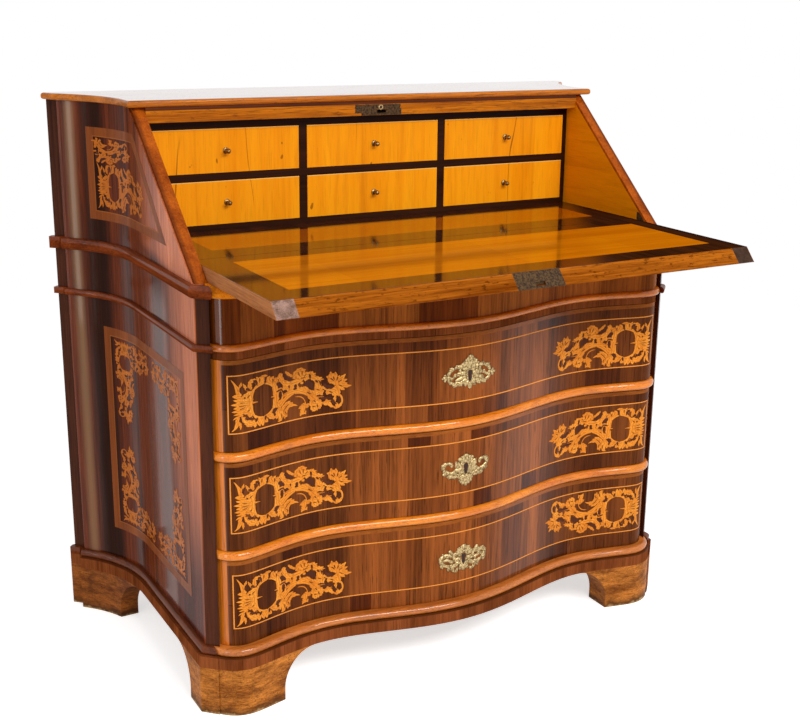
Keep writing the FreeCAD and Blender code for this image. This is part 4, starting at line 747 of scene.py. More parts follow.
    (201.5, 18.5, 204.5, 12, 202.5, 8.5, 6.5), (183, 23.5, 179.5, 18.5, 183, 15.5, 5.6),
    (138, 23.5, 143, 18.5, 139.5, 8.5, 10.8), (134.5, 20.5, 139.5, 17, 144.5, 18.5, 9.5),
    (134.5, 8.5, 139.5, 10.5, 144.5, 7, 7.4), (174.5, 18, 183, 24, 194, 23.5, 3.5),
    (182, 23.5, 186.5, 27, 187, 31, 3.5), (196.5, 13, 199.5, 8.5, 204, 7.5, 3.9),
]
GAPS = [
    (24.5, 79.5, 18, 74.5, 21.5, 66.5, 5.2), (29.5, 73.5, 34, 73, 38, 69, 5.2),
    (43.5, 83.5, 51, 85.5, 51.5, 74, 5.6), (66.5, 86.5, 69.5, 82, 65.5, 73.5, 4.8),
    (89, 70.5, 96.5, 68, 101.5, 61, 8.7), (88, 56, 96.5, 58.5, 101.5, 58.5, 3),
    (95.5, 55.5, 98, 52, 98, 42.5, 5.6), (103.5, 52, 106.5, 55.5, 110.5, 52, 6.1),
    (113, 62.5, 114, 60.5, 114.5, 56.5, 3), (125.5, 62, 127, 58.5, 126.5, 53.5, 6.5),
    (122, 53.5, 126.5, 55.5, 129.5, 53, 4.3), (102.5, 85.5, 107, 71, 126, 70.5, 7.8),
    (141, 58.5, 153, 64.5, 162, 46, 12.6), (153, 75.5, 155.5, 72, 154, 65, 4.3),
    (164.5, 63, 167, 59.5, 169.5, 58.5, 3.9), (171.5, 60.5, 174.5, 57, 173, 52, 3.5),
    (179, 55.5, 188, 42, 201, 49.5, 7.8), (165.5, 34.5, 173, 35.5, 178, 32, 3.5),
    (169.5, 30, 181.5, 28.5, 195.5, 28, 5.2), (195.5, 26, 194.5, 18.5, 203, 16, 6.5),
    (206.5, 28.5, 210.5, 23.5, 207, 15.5, 4.3), (81.5, 20.5, 84.5, 27, 91.5, 28, 7.8),
    (27, 24.5, 34, 18.5, 41.5, 25.5, 4.8), (50, 20.5, 50, 15.5, 45.5, 13.5, 4.3),
    (66.5, 20.5, 68, 16, 64.5, 12, 4.3), (71.5, 10.5, 74.5, 9.5, 78, 7, 3),
    (19.5, 28.5, 18, 22, 23, 16, 3.9), (25.5, 59, 27.5, 59.5, 29.5, 57.5, 3),
    (18, 52, 23, 51, 29.5, 50.5, 1.3), (16.5, 46, 23, 46, 31.5, 46.5, 1.3),
    (18, 40.5, 23, 41.5, 29.5, 43.5, 1.3), (196.5, 66, 198, 62, 199, 58.5, 2.2),
    (204.5, 64.5, 204, 60.5, 202.5, 57, 2.2), (212, 58, 209, 56, 205.5, 55, 1.7),
    (214.5, 46, 209.5, 48, 205.5, 50, 1.7), (191.5, 63, 195.5, 60.5, 198, 57, 2.2),
    (166.5, 20.5, 168, 17, 168, 13.5, 2.2), (160.5, 28.5, 163, 26, 164.5, 23.5, 2.2),
    (158, 17, 161.5, 16, 164.5, 16.5, 1.7), (131.5, 82, 134, 78.5, 134.5, 74.5, 1.7),
    (139.5, 83, 139.5, 78.5, 139, 74.5, 1.7), (148, 77, 145.5, 74.5, 143, 72, 1.7),
    (136.5, 70.5, 141.5, 70.5, 146.5, 71, 1.7), (91.5, 78.5, 94, 75.5, 94.5, 70.5, 1.7),
    (98, 17, 99.5, 12, 98, 8, 2), (104.5, 18.5, 108, 15.5, 107, 11, 1.7),
    (144.5, 15.5, 144.5, 12, 143, 8.5, 1.5), (81.5, 80.5, 83, 77, 81.5, 73.5, 2.2),
    (56.5, 87, 56.5, 83.5, 55.5, 78.5, 1.7), (38, 62, 34, 60.5, 31.5, 57, 1.7),
    (36.5, 37, 34, 36, 31.5, 34.5, 1.7), (113, 30.5, 106.5, 26, 102, 18.5, 1.5),
    (148, 44.5, 153, 41, 158, 39.5, 1.7), (166.5, 47, 169.5, 44.5, 173, 44.5, 1.7),
    (189.5, 40, 193, 38, 196.5, 36, 2.2),
]


def leaf_width(t):
    return t ** 0.45 * (1 - t) ** 0.75 / 0.5 * (1 + 0.22 * math.sin(21 * t))


def flame_width(t):
    return math.sqrt(1 - t) * (0.55 + 0.45 * math.sin(math.pi * min(1, 1.2 * t + 0.15)))


def stem_width(t):
    return (0.75 + 0.25 * math.sin(math.pi * t)) * min(1, 14 * min(t, 1 - t) + 0.25)


print("strokes:", len(FLAMES) + len(STEMS) + len(LEAVES), "gaps:", len(GAPS))

# %% [markdown]
# ## From strokes to a thin sheet
# Each vertex keeps how far along and across its leaf it is, and the leaf's own tone. The finish reads these,
# to shade the leaf as with hot sand and to cut its midrib. Each leaf lies a hair above the last, so no two
# faces share a plane.

# %% Extruding a stroke
HAIR, LEAST_HALF, LEAF_STEPS = 0.0012, 0.02, 9
LEAF_LAYERS = ("along", "across", "tone")
random.seed(7)


def bend(stroke, t):
    """A point on the stroke and the direction there."""
    x0, y0, xc, yc, x1, y1, _ = stroke
    s = 1 - t
    at = Vector((s * s * x0 + 2 * s * t * xc + t * t * x1, s * s * y0 + 2 * s * t * yc + t * t * y1))
    way = Vector((s * (xc - x0) + t * (x1 - xc), s * (yc - y0) + t * (y1 - yc)))
    return at, way.normalized() if way.length > 0 else Vector((1, 0))


def lay_strokes(bm, strokes, width_at, lift, steps, crown):
    """Adds strokes to a bmesh. The crown raises the middle of each, as a share of its half width."""
    floats = bm.verts.layers.float
    along, across, tone = (floats.get(key) or floats.new(key) for key in LEAF_LAYERS)
    for number, stroke in enumerate(strokes):
        own, height = random.random(), lift + number * HAIR

        def set_row(row, t):
            at, way = bend(stroke, t)
            half = max(width_at(t) * stroke[6] / 2, LEAST_HALF)
            for vertex, share in zip(row, (1, 0, -1)):
                rise = 0 if share else crown * half
                vertex.co = (at.x - way.y * half * share, at.y + way.x * half * share, height + rise)
                vertex[along], vertex[across], vertex[tone] = t, share, own

        row = [bm.verts.new() for _ in range(3)]
        edges = [bm.edges.new(row[:2]), bm.edges.new(row[1:])]
        set_row(row, 0.0)
        for step in range(1, steps + 1):
            grown = bmesh.ops.extrude_edge_only(bm, edges=edges)["geom"]
            edges = [g for g in grown if isinstance(g, bmesh.types.BMEdge)]
            new = {g for g in grown if isinstance(g, bmesh.types.BMVert)}
            row = [next(e.other_vert(v) for e in v.link_edges if e.other_vert(v) in new) for v in row]
            set_row(row, step / steps)
    bm.normal_update()
    bmesh.ops.reverse_faces(bm, faces=[f for f in bm.faces if f.normal.z < 0])


print("strokes can be extruded")

# %% [markdown]
# ## Flat sheets
# Stringing and banding are mitred frames. A joiner cuts four strips. Here a face on the outline is inset by
# the width of the strip and its middle is taken out, which gives the mitres by itself. The strips are then
# divided, so that they can follow a curve.

# %% Sheets of strokes and frames
FRAME_STEP = 5.0


def lay_frame(bm, corners, width, height, inside):
    """A mitred frame of one width, some distance inside an outline."""
    middle = bm.faces.new([bm.verts.new((*corner, height)) for corner in corners])
    middle.normal_update()

    def inset(thickness):
        return bmesh.ops.inset_region(bm, faces=[middle], thickness=thickness, use_even_offset=True,
                                      use_boundary=True)["faces"]

    if inside:
        bmesh.ops.delete(bm, geom=inset(inside), context="FACES")
    ring = inset(width)
    bmesh.ops.delete(bm, geom=[middle], context="FACES_ONLY")
    sides = {e for f in ring for e in f.edges if e.calc_length() > 3 * width}
    cuts = round(max(e.calc_length() for e in sides) / FRAME_STEP)
    bmesh.ops.subdivide_edges(bm, edges=list(sides), cuts=cuts, use_grid_fill=True)


def flat_mesh(bm, name="flat_sheet"):
    mesh = bpy.data.meshes.new(name)
    bm.to_mesh(mesh)
    bm.free()
    return mesh


def sheet_mesh(layers, steps=LEAF_STEPS, crown=0.0):
    """A flat mesh of several (strokes, width, lift) layers."""
    bm = bmesh.new()
    for strokes, width_at, lift in layers:
        lay_strokes(bm, strokes, width_at, lift, steps, crown)
    return flat_mesh(bm)


def frame_mesh(outlines, width, height, inside=0.0):
    """A flat mesh of mitred frames."""
    bm = bmesh.new()
    for corners in outlines:
        lay_frame(bm, corners, width, height, inside)
    return flat_mesh(bm)


def rectangle(left, right, low, high):
    return [(left, low), (right, low), (right, high), (left, high)]


DRAWING = [(FLAMES, flame_width, 0.15), (STEMS, stem_width, 0.16), (LEAVES, leaf_width, 0.2)]
GAP_DRAWING = [(GAPS, leaf_width, 0.46)]
leafage, gaps = sheet_mesh(DRAWING), sheet_mesh(GAP_DRAWING)
print("faces in one panel's leaf-work:", len(leafage.polygons), "gaps:", len(gaps.polygons))

# %% [markdown]
# ## Onto the desk
# A flat sheet is copied, mapped point by point onto the surface that carries it, and made a solid by a
# Solidify modifier that grows into the wood. A mirrored copy is inside out, so its faces are turned: one
# face is compared with the way out of the surface.

# %% Mapping and fitting
INLAY_DEPTH = 0.6


def plain_object(name, bm):
    made = bpy.data.objects.new(name, flat_mesh(bm, name))
    bpy.context.scene.collection.objects.link(made)
    return made


def piece_of(name, bm, material, body, depth=0.0, smooth=True):
    """A finished piece: an object at the origin that rides on a body."""
    made = plain_object(name, bm)
    made.data.materials.append(material)
    for face in made.data.polygons:
        face.use_smooth = smooth
    if depth:
        solid = made.modifiers.new("into_the_wood", "SOLIDIFY")
        solid.thickness, solid.offset = depth * MM, -1
    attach(made, body)
    return made


def fitted(name, sheets, material, body, depth=INLAY_DEPTH, smooth=False):
    """Pairs of a flat mesh and the surface that it is mapped onto, as one thin piece."""
    bm = bmesh.new()
    for mesh, surface in sheets:
        start_vert, start_face = len(bm.verts), len(bm.faces)
        bm.from_mesh(mesh)
        bm.verts.ensure_lookup_table()
        bm.faces.ensure_lookup_table()
        new_faces = bm.faces[start_face:]
        u, v, lift = new_faces[0].calc_center_median()
        outwards = surface(u, v, lift + 1) - surface(u, v, lift)
        for vertex in bm.verts[start_vert:]:
            vertex.co = surface(*vertex.co) * MM
        new_faces[0].normal_update()
        if new_faces[0].normal.dot(outwards) < 0:
            bmesh.ops.reverse_faces(bm, faces=new_faces)
    return piece_of(name, bm, material, body, depth, smooth)


print("sheets can be fitted")

# %% [markdown]
# ## Finishes of the inlay
# The leaves are a light orange wood, each a little different. The root is darker, where it was dipped in
# hot sand, and a fine dark line is engraved along the middle. The gaps are the dark ground again.

# %% Inlay woods
def inlay_wood(name, dark, light, shaded=False, coat=lambda made: 0.0):
    made = wood(name, UPRIGHT, dark, light, 40, 300, 0.25, 0.6)
    if shaded:
        along, across, tone = (made.node("Attribute", {"attribute_name": key}, {}, "Fac")
                               for key in LEAF_LAYERS)
        made.stain(tone * 0.5, 204, 108, 28)
        burnt = (1 - along.rise(0.0, 0.4)) * across.rise(-0.6, 1.0) * 0.6
        rib = (1 - abs(across).rise(0.05, 0.14)) * along.between(0.12, 0.8, 0.05) * 0.6
        cut = abs(across).rise(0.76, 1.0) * 0.55
        made.stain(burnt.most(rib).most(cut), 128, 58, 18)
    return polish(made, 0.22, 0.06, coat(made))


orange_inlay = inlay_wood("orange_inlay", (230, 130, 28), (255, 170, 66), True)
string_inlay = inlay_wood("orange_stringing", (226, 136, 52), (246, 160, 76))
dark_ground = inlay_wood("dark_ground", (62, 28, 16), (104, 56, 34))
print("inlay woods ready")

# %% [markdown]
# ## Inlays of the drawers
# Each front has one line of stringing round its panel and the leaf-work at both ends, the right one mirrored.
# On the lowest drawer the right end stands on its head. The sheets are drawn once and fitted to each drawer.

# %% Drawer inlays
STRING_WIDTH, STRING_LIFT, STRING_OUTSIDE = 1.9, 0.16, 1


def on_front(x0, z0, across=1, up=1):
    """Maps a drawing onto the curved front, from a point of it and in two directions."""
    def surface(u, v, lift):
        x = x0 + across * u
        return Vector((x, front_y(x) - lift, z0 + up * v))
    return surface


panel = rectangle(-STRING_OUTSIDE, 2 * PANEL_END + STRING_OUTSIDE,
                  -STRING_OUTSIDE, PANEL_HIGH - PANEL_LOW + STRING_OUTSIDE)
stringing = frame_mesh([panel], STRING_WIDTH, STRING_LIFT)
for number, row in enumerate(("bottom", "middle", "top")):
    low, body = DRAWER_LOW + number * DRAWER_PITCH, "drawer_" + row
    surface = on_front(-PANEL_END, low + PANEL_LOW)
    fitted(row + "_stringing", [(stringing, surface)], string_inlay, body)
    for hand, side in ((-1, "left"), (1, "right")):
        on_head = row == "bottom" and side == "right"
        start, up = (PANEL_HIGH, -1) if on_head else (PANEL_LOW, 1)
        surface = on_front(hand * PANEL_END, low + start, -hand, up)
        fitted(f"{row}_{side}_leaves", [(leafage, surface)], orange_inlay, body)
        fitted(f"{row}_{side}_ground", [(gaps, surface)], dark_ground, body)
print("drawer inlays laid")

# %% [markdown]
# ## Leaf-work of the sides
# Each side has a banded frame with a leaf scroll in every corner, and above the ledge a smaller frame that
# follows the slope. The scrolls are redrawn from the drawers' drawing: one copy stands in the corner with
# its tail along the upright, and part of a second one lies along the rail.

# %% Scrolls for the sides
TAIL_SCALE, TAIL_AT, SIDE_STEPS = 0.72, (9, 2), 7
ARM_SCALE, ARM_AT, ARM_START = 0.58, (76, 3), 88
LEDGE_SCALES, LEDGE_AT = (0.82, 0.95), (419, 810)
TOP_SCALES, TOP_AT = (0.86, 0.52), (418, 942)
UPPER_WIDTHS = (0.88, 0.66)


def redrawn(drawing, place, scale, start=0.0):
    """A drawing with every point placed anew. Strokes that begin before start are left out."""
    return [([(*place(*r[0:2]), *place(*r[2:4]), *place(*r[4:6]), r[6] * scale)
              for r in strokes if r[0] >= start], width_at, lift) for strokes, width_at, lift in drawing]


def in_corner(x, y): return TAIL_AT[0] + y * TAIL_SCALE, TAIL_AT[1] + x * TAIL_SCALE
def along_rail(x, y): return ARM_AT[0] + (x - ARM_START) * ARM_SCALE, ARM_AT[1] + y * ARM_SCALE
def over_ledge(x, y): return LEDGE_AT[0] - x * LEDGE_SCALES[0], LEDGE_AT[1] + y * LEDGE_SCALES[1]
def under_top(x, y): return TOP_AT[0] - (x - ARM_START) * TOP_SCALES[0], TOP_AT[1] - y * TOP_SCALES[1]


def side_sheet(drawing, first, second, widths):
    layers = redrawn(drawing, first, widths[0]) + redrawn(drawing, second, widths[1], ARM_START)
    return sheet_mesh(layers, SIDE_STEPS)


corner_leaves, corner_gaps = (side_sheet(drawing, in_corner, along_rail, (TAIL_SCALE, ARM_SCALE))
                              for drawing in (DRAWING, GAP_DRAWING))
upper_leaves, upper_gaps = (side_sheet(drawing, over_ledge, under_top, UPPER_WIDTHS)
                            for drawing in (DRAWING, GAP_DRAWING))
print("faces in a side's corner:", len(corner_leaves.polygons))

# %% [markdown]
# ## Inlays of the sides
# The side is flat in front and sweeps out behind as a quarter arc, so a sheet is mapped by its distance along
# the face. The corner scroll is measured inwards from each corner of the frame in turn.

# %% Side inlays
SIDE_FACE, SWEEP_START, SWEEP_RADIUS, SIDE_LIFT = 482, 176.49, 250, 0.12
BAND, BAND_LIFT, SIDE_STRING, SIDE_STRING_LIFT = 15, 0.14, 1.7, 0.2
FRONT, REAR, FOOT, HEAD = 70, 412, 191, 583  # the middle lines of the lower frame's band
HALF_BAND = BAND / 2
SLOPED_FRAME = [(122.7, 792), (437.5, 792), (437.5, 959), (278.8, 959)]


def on_side(hand, corner=(0, 0), ways=(1, 1)):
    """Maps (distance from the front edge, height) onto a side, or distances inwards from a corner."""
    def surface(u, v, lift):
        run, z, lift = corner[0] + ways[0] * u, corner[1] + ways[1] * v, lift + SIDE_LIFT
        angle = max(0.0, run - (SWEEP_START - CASE_FRONT)) / SWEEP_RADIUS
        x = SIDE_FACE + SWEEP_RADIUS * (1 - math.cos(angle)) + lift * math.cos(angle)
        y = min(CASE_FRONT + run, SWEEP_START) + SWEEP_RADIUS * math.sin(angle) - lift * math.sin(angle)
        return Vector((hand * x, y, z))
    return surface


outlines = [rectangle(FRONT - HALF_BAND, REAR + HALF_BAND, FOOT - HALF_BAND, HEAD + HALF_BAND), SLOPED_FRAME]
bands = frame_mesh(outlines, BAND, BAND_LIFT)
band_lines = frame_mesh(outlines, SIDE_STRING, SIDE_STRING_LIFT, BAND)

side_inlay = inlay_wood("side_orange_inlay", (170, 86, 14), (212, 122, 36), True)
band_inlay = inlay_wood("side_banding", (98, 42, 8), (156, 80, 26))
side_string = inlay_wood("side_stringing", (136, 68, 14), (174, 98, 30))
side_ground = inlay_wood("side_dark_ground", (46, 17, 6), (88, 40, 18), coat=side_polish)
for hand, side in ((-1, "left"), (1, "right")):
    whole = on_side(hand)
    corners = [on_side(hand, (edge + way * HALF_BAND, rail + rise * HALF_BAND), (way, rise))
               for rail, rise in ((HEAD, -1), (FOOT, 1)) for edge, way in ((REAR, -1), (FRONT, 1))]
    for part, low_mesh, high_mesh, wood, slot in (
            ("leaves", corner_leaves, upper_leaves, side_inlay, "golden"),
            ("ground", corner_gaps, upper_gaps, side_ground, "veneer")):
        sheets = [(low_mesh, corner) for corner in corners] + [(high_mesh, whole)]
        fitted(f"side_{side}_{part}", sheets, wood, "carcass")
    fitted(f"side_{side}_banding", [(bands, whole)], band_inlay, "carcass")
    fitted(f"side_{side}_stringing", [(band_lines, whole)], side_string, "carcass")
print("side inlays laid")

# %% [markdown]
# ## Pierced escutcheons
# The keyholes are dressed with cast brass leaf-work, filed and pierced, each of another pattern. The same
# strokes make them, but with a raised middle, so every leaf is a small ridge. One half is drawn, from the
# keyhole outwards, and mirrored. The keyhole is a near-black plate, a painted shadow that stands for the
# hole.

# %% Drawings of the escutcheons
KEYHOLE_RIM = [(0, 12.5, 8.5, 11, 6.2, 1, 3.4), (6.2, 2, 6, -11, 0, -13, 3.4)]
ESCUTCHEONS = {
    "top": ((1.2, 550.8), KEYHOLE_RIM + [
        (0, 12, 1, 26, 0, 38.5, 13), (2, 13, 9, 20, 8, 32, 9), (3, 13, 13, 17, 13, 29, 8),
        (6, 13, 14, 14, 18, 24, 6), (5, 9, 18, 24, 33, 15, 8), (32, 16, 44, 12, 43, 2, 7),
        (43, 3, 41, -5, 33, -1, 6), (34, -1, 28, 2, 31, 7, 5), (6, 3, 16, 8, 29, 3, 9),
        (6, -5, 18, -16, 34, -11, 9), (32, -12, 43, -11, 43, -1, 6), (8, -2, 20, -3, 30, -8, 8),
        (12, 12, 15, 18, 20, 19, 6), (22, 16, 26, 20, 30, 20, 6), (33, 14, 38, 17, 42, 15, 6),
        (14, -10, 17, -16, 23, -16, 6), (26, -12, 30, -17, 35, -15, 6), (42, 0, 50, 1, 56, -1, 6),
        (48, 0, 50, 4, 50, 7, 5), (48, -1, 50, -4, 50, -7, 5), (0, -12, 0, -18, 0, -24.5, 8),
        (2, -11, 9, -13, 11, -19, 8), (6, -8, 12, -9, 15, -15, 6), (16, 3, 22, 10, 20, 15, 6)]),
    "middle": ((-2.6, 376.2), KEYHOLE_RIM + [
        (0, 12, 1, 20, 0, 28, 14), (3, 13, 9, 17, 10, 24, 9), (5, 12, 13, 15, 14, 22, 7),
        (6, 6, 16, 8, 22, 16, 8), (5, 0, 16, -2, 26, -4, 11), (18, 13, 20, 4, 14, -2, 8),
        (22, -6, 40, -10, 46, 4, 9), (46, 3, 48, 14, 36, 14, 8), (37, 14, 27, 13, 30, 5, 6),
        (45, 8, 48, 11, 47.5, 13, 4), (20, -8, 30, -16, 38, -10, 8), (16, -9, 20, -16, 26, -14, 7),
        (6, -6, 14, -8, 18, -16, 7), (36, -5, 44, -9, 47, -4, 5), (0, -12, 0, -22, 0, -33.5, 9),
        (2, -13, 6, -22, 6, -31, 8), (3, -13, 11, -19, 11, -27, 8), (4, -13, 13, -16, 13, -21, 6),
        (8, 10, 12, 6, 11, 0, 7)]),
    "bottom": ((-2.6, 199.0), KEYHOLE_RIM + [
        (0, 12, 1, 20, 0, 28, 13), (2, 13, 10, 17, 11, 24, 9), (5, 12, 14, 13, 14, 18, 7),
        (6, 7, 16, 14, 25, 8, 8), (22, 9, 27, 14, 30, 21, 7), (24, 8, 38, 14, 43, 9, 8),
        (40, 10, 48, 9, 49, 3, 7), (47, 4, 46, -8, 36, -10, 8), (38, -9, 28, -14, 22, -8, 7),
        (7, 0, 14, 2, 20, -4, 8), (30, 0, 38, 4, 42, 0, 6), (22, -4, 28, -2, 31, 2, 6),
        (40, 8, 41, 13, 45, 15, 5), (44, -5, 48, -9, 43, -13, 5), (30, -12, 33, -17, 29, -20, 6),
        (8, -6, 16, -10, 24, -14, 8), (22, -12, 26, -18, 19, -24, 7), (19, -23, 13, -24, 14, -17, 5),
        (0, -12, 0, -18, 0, -24, 8), (2, -12, 8, -14, 7, -22, 7), (20, 8, 22, 2, 17, -2, 6),
        (34, 9, 35, 3, 31, 0, 6)]),
}
KEYHOLE = [(0, 8.8, 0, 5, 0, 1.6, 5.8), (0, 4, 0, -3, 0, -9.2, 4.2)]
print("strokes in half a plate:", [len(strokes) for _, strokes in ESCUTCHEONS.values()])

# %% [markdown]
# ## Brasses on the drawers
# A plate is the half drawing and its mirror image, laid on the curve of the front round its keyhole. It
# takes the place of the plain plate among the solids.

# %% Escutcheons
RELIEF, PLATE_LIFT, PLATE_DEPTH, PLATE_STEPS, KEYHOLE_LIFT = 0.24, 1.0, 1.1, 8, 1.3


def keyhole_width(t):
    return min(1.0, 0.5 + 6 * min(t, 1 - t))


def ridge_width(t):
    return (t + 0.1) ** 0.25 * (1.03 - t) ** 0.36 * 1.62 * (1 + 0.1 * math.sin(19 * t))


def plate_mesh(strokes):
    """A flat plate of the strokes and their mirror images across the upright through the keyhole."""
    images = [(-r[0], r[1], -r[2], r[3], -r[4], r[5], r[6]) for r in strokes if r[0] or r[2] or r[4]]
    return sheet_mesh([(strokes + images, ridge_width, PLATE_LIFT)], PLATE_STEPS, RELIEF)


# The keyhole plate is a painted shadow: a near-black sheet where the hole is.
painted_keyhole_shadow = metal("painted_keyhole_shadow", (8, 5, 3), (22, 14, 10), 0.7, 0.0)
keyhole_sheet = sheet_mesh([(KEYHOLE, keyhole_width, KEYHOLE_LIFT)])
for row, (at, strokes) in ESCUTCHEONS.items():
    surface, body = on_front(*at), "drawer_" + row
    made = fitted(row + "_escutcheon", [(plate_mesh(strokes), surface)], brass_finish, body,
                  PLATE_DEPTH, True)
    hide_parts("escutcheon_" + row)
    fitted(row + "_keyhole", [(keyhole_sheet, surface)], painted_keyhole_shadow, body)
print("escutcheons:", len(ESCUTCHEONS))

# %% [markdown]
# ## The fall's outer face
# This is the underside of the open fall, which the photograph doesn't show, so it is a guess after the
# drawers: a frame of stringing, a pair of leaf scrolls at each end, mirrored across the middle, and the
# keyhole near the top edge. Only a hair of clearance lies over the ledge, so these inlays are flatter.

# %% Inlays under the fall
FALL_MIDDLE, FALL_END, FALL_SCALE, FALL_FLAT = -218, 424, 1.2, 0.35
FALL_FRAME_FRONT, FALL_FRAME_BACK, FALL_KEYHOLE, SCROLL_GAP = -351, -85, -338, 6


def under_fall(hand, up):
    """Maps the drawers' drawing onto the underside, from its end inwards and the middle line outwards."""
    def surface(u, v, lift):
        return Vector((hand * (FALL_END - u * FALL_SCALE), FALL_MIDDLE - up * (v * FALL_SCALE + SCROLL_GAP),
                       BOARD_UNDER - lift * FALL_FLAT))
    return surface


def flat_under_fall(u, v, lift): return Vector((u, v, BOARD_UNDER - lift * FALL_FLAT))
def keyhole_on_fall(u, v, lift): return Vector((u, FALL_KEYHOLE - v, BOARD_UNDER - lift))


fall_lines = frame_mesh([rectangle(-FALL_END, FALL_END, FALL_FRAME_FRONT, FALL_FRAME_BACK)],
                        STRING_WIDTH, STRING_LIFT)
quarters = [under_fall(hand, up) for hand in (-1, 1) for up in (-1, 1)]
fitted("fall_stringing", [(fall_lines, flat_under_fall)], string_inlay, "fall")
fitted("fall_leaves", [(leafage, quarter) for quarter in quarters], orange_inlay, "fall")
fitted("fall_ground", [(gaps, quarter) for quarter in quarters], dark_ground, "fall")
fall_plate = plate_mesh(ESCUTCHEONS["top"][1])
fitted("fall_escutcheon", [(fall_plate, keyhole_on_fall)], brass_finish, "fall", PLATE_DEPTH, True)
fitted("fall_keyhole", [(keyhole_sheet, keyhole_on_fall)], painted_keyhole_shadow, "fall")
print("outer face of the fall inlaid")

# %% [markdown]
# ## The keeper's cover
# Over the slot that takes the fall's bolt sits a thin wrought plate with ragged ends. A grid is cut away
# round the slot and its rim is shaken a little, as the edge of hammered iron is uneven.

# %% Keeper cover
COVER_LEFT, COVER_RIGHT, COVER_LOW, COVER_HIGH = -57, 41, 981, 996.6
COVER_FACE, COVER_DEPTH, SLOT_HALF, SLOT_TOP = 154.38, 0.3, 12, 988
shake = random.Random(3)
bm = bmesh.new()
bmesh.ops.create_grid(bm, x_segments=28, y_segments=6, size=0.5)
bmesh.ops.scale(bm, verts=bm.verts[:], vec=(COVER_RIGHT - COVER_LEFT, COVER_HIGH - COVER_LOW, 1))
bmesh.ops.translate(bm, verts=bm.verts[:],
                    vec=((COVER_LEFT + COVER_RIGHT) / 2, (COVER_LOW + COVER_HIGH) / 2, 0))
for vertex in [v for v in bm.verts if v.is_boundary]:
    vertex.co += Vector((shake.uniform(-1.6, 1.6), shake.uniform(-0.6, 0.3), 0))
centres = {face: face.calc_center_median() for face in bm.faces}
slot_faces = [face for face, at in centres.items() if abs(at.x) < SLOT_HALF and at.y < SLOT_TOP]
bmesh.ops.delete(bm, geom=slot_faces, context="FACES")
fitted("keeper_cover", [(flat_mesh(bm), lambda u, v, lift: Vector((u, COVER_FACE - lift, v)))],
       iron_finish, "carcass", COVER_DEPTH)
print("keeper covered")

# %% [markdown]
# ## Eyelet
# A bright brass eyelet sits on the cover. A turner works from a profile, and so does Spin: it carries a line
# of points round an axis. Where the line is closed, a ring comes of it.

# %% Turning
EYELET_AT, EYELET_STEPS = Vector((-1.4, COVER_FACE, 991)) * MM, 24
EYELET_PROFILE = [(5.2, 0), (4.6, 0.1), (3.2, 0.1), (2.8, 0)]  # radius, distance forwards
SAME_POINT = 0.002 * MM


def turned(name, profile, at, steps, material, body, closed=False):
    """A brass piece: a profile in millimetres, spun round an axis that runs back through a point."""
    bm = bmesh.new()
    points = [bm.verts.new((at[0] + radius * MM, at[1] - out * MM, at[2])) for radius, out in profile]
    ends = points[1:] + points[:1] if closed else points[1:]
    edges = [bm.edges.new(pair) for pair in zip(points, ends)]
    bmesh.ops.spin(bm, geom=points + edges, cent=at, axis=(0, 1, 0), dvec=(0, 0, 0),
                   angle=2 * math.pi, steps=steps, use_merge=True)
    bmesh.ops.remove_doubles(bm, verts=bm.verts[:], dist=SAME_POINT)
    bmesh.ops.recalc_face_normals(bm, faces=bm.faces[:])
    return piece_of(name, bm, material, body)


turned("keeper_eyelet", EYELET_PROFILE, EYELET_AT, EYELET_STEPS, brass_finish, "carcass", closed=True)
print("eyelet turned")

# %% [markdown]
# ## Glue blocks
# Behind the base, at each rear corner, a joiner glues a block into the angle. It closes the slit between the
# base and the rear post. A cube is stretched to its size and its edges are eased with a bevel.

# %% Glue blocks of the base
BLOCK_MIDDLE, BLOCK_SIZE = Vector((526, 359, 104)) * MM, Vector((54, 28, 35)) * MM
BLOCK_BEVEL = 2 * MM
bm = bmesh.new()
for hand in (-1, 1):
    block = bmesh.ops.create_cube(bm, size=1.0)["verts"]
    bmesh.ops.scale(bm, verts=block, vec=BLOCK_SIZE)
    bmesh.ops.translate(bm, verts=block, vec=(hand * BLOCK_MIDDLE.x, BLOCK_MIDDLE.y, BLOCK_MIDDLE.z))
bmesh.ops.bevel(bm, geom=bm.edges[:], offset=BLOCK_BEVEL, affect="EDGES", segments=2, profile=0.5,
                material=-1)
# The blocks take the nearly black post veneer, a painted shade, so that the slit reads as a dark groove.
piece_of("base_glue_blocks", bm, post_finish, "carcass", smooth=False)
print("glue blocks set")

# %% [markdown]
# ## Turned knobs
# Each little drawer has a small turned brass knob: a foot plate, a waist and a ball. Its place is read from
# the plain knob of the solids, which it replaces. Here the profile is open and ends on the axis.

# %% Knobs
KNOB_PROFILE = [(5.8, 0), (5.8, 0.9), (5.0, 1.5), (3.4, 1.9), (2.3, 2.8), (2.0, 5.0), (2.3, 7.6), (3.4, 8.8),
                (4.4, 10.4), (4.8, 12.4), (4.4, 14.6), (3.3, 16.6), (1.7, 17.7), (0, 18)]
KNOB_STEPS = 28
knob_brass = metal("dark_brass", (62, 46, 24), (176, 140, 84), 0.3, 0.8, 500)
for name in [n for n in nodes if n.startswith("knob_")]:
    low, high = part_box(name)
    at = ((low[0] + high[0]) / 2, high[1], (low[2] + high[2]) / 2)
    made = turned(name.replace("knob_", "turned_knob_"), KNOB_PROFILE, at, KNOB_STEPS, knob_brass,
                  name.replace("knob_", "small_drawer_"))
    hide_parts(name)
print("knobs turned")

# %% [markdown]
# ## White ground
# The photograph has a white ground. The sky is white to the eye and in reflections, and softer for the light
# that it sheds. The floor glows only for the rays that see it and fades out at its rim, so it looks white and
# still takes a faint shadow.

# %% Floor and sky
FLOOR_FADE = (1.3, 3.2)
SKY_LIGHT, FLOOR_GLOW, FLOOR_WHITE = 0.46, 0.34, 0.6


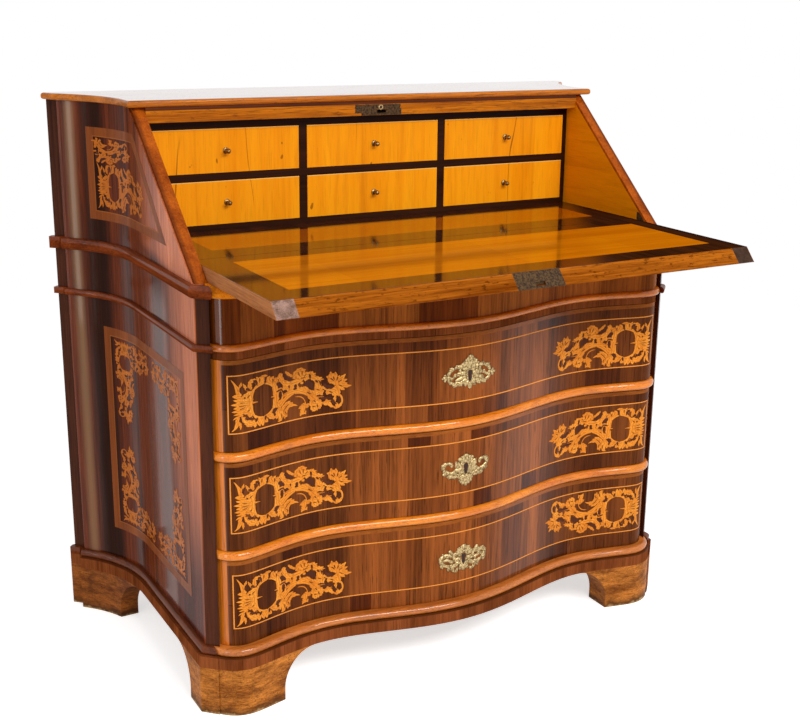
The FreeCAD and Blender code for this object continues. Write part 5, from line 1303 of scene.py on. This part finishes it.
def is_ray(made, kind):
    return made.node("LightPath", {}, {}, f"Is {kind} Ray")


def seen_rays(made):
    """1 for rays from the camera, also by reflection or through glass, and 0 for light on the pieces."""
    return is_ray(made, "Camera").most(is_ray(made, "Glossy")).most(is_ray(made, "Transmission"))


bm = bmesh.new()
bmesh.ops.create_circle(bm, cap_ends=True, segments=64, radius=FLOOR_FADE[1])
floor = plain_object("floor", bm)
pale = Finish("pale_floor")
glow = pale.mix(seen_rays(pale), (0, 0, 0), (FLOOR_GLOW,) * 3)
glow = pale.mix(is_ray(pale, "Camera"), glow, (FLOOR_WHITE,) * 3)
pale.finish(Base_Color=(0.94, 0.94, 0.94), Roughness=0.9, Specular_IOR_Level=0.1, Emission_Strength=1.0,
            Emission_Color=glow)
far = pale.node("VectorMath", {"operation": "LENGTH"}, {0: pale.place}, "Value")
faded = pale.node("MixShader", {}, {0: far.rise(*FLOOR_FADE), 1: Value(pale, pale.shader.outputs[0]),
                                    2: pale.node("BsdfTransparent", {}, {})})
pale.fill(pale.tree.nodes["Material Output"].inputs["Surface"], faded)
floor.data.materials.append(pale.material)

sky = Finish("studio_sky", bpy.data.worlds, "Background")
sky.finish(Color=(1, 1, 1), Strength=seen_rays(sky) * (1 - SKY_LIGHT) + SKY_LIGHT)
bpy.context.scene.world = sky.material
print("white ground set")

# %% [markdown]
# ## Lamps
# One broad soft lamp stands high in front and lights the drawers and the writing surface. Three tall, narrow
# ones at the left lie like windows along the side, and give its polish the upright streaks of the photograph.

# %% Lamps
LAMPS = {  # place and aim in metres, width, height, watts
    "key_lamp": ((0.3, -2.8, 2.6), (0, 0, 0.6), 2.2, 0.9, 88),
    "left_window": ((-2.1, -1.15, 0.8), (-0.45, -0.1, 0.6), 0.3, 1.5, 6),
    "left_strip": ((-2.5, 0.15, 0.9), (-0.5, 0.2, 0.6), 0.14, 1.7, 3.5),
    "rear_strip": ((-2.5, 0.66, 0.9), (-0.5, 0.3, 0.6), 0.12, 1.7, 2.5),
}
for name, (at, towards, width, height, watts) in LAMPS.items():
    light = bpy.data.lights.new(name, "AREA")
    light.shape, light.size, light.size_y, light.energy = "RECTANGLE", width, height, watts
    made = bpy.data.objects.new(name, light)
    bpy.context.scene.collection.objects.link(made)
    made.location = at
    made.rotation_euler = (Vector(towards) - Vector(at)).to_track_quat("-Z", "Y").to_euler()
    made.visible_camera = False
bpy.context.scene.view_settings.view_transform = "Standard"
print("lamps:", len(LAMPS))
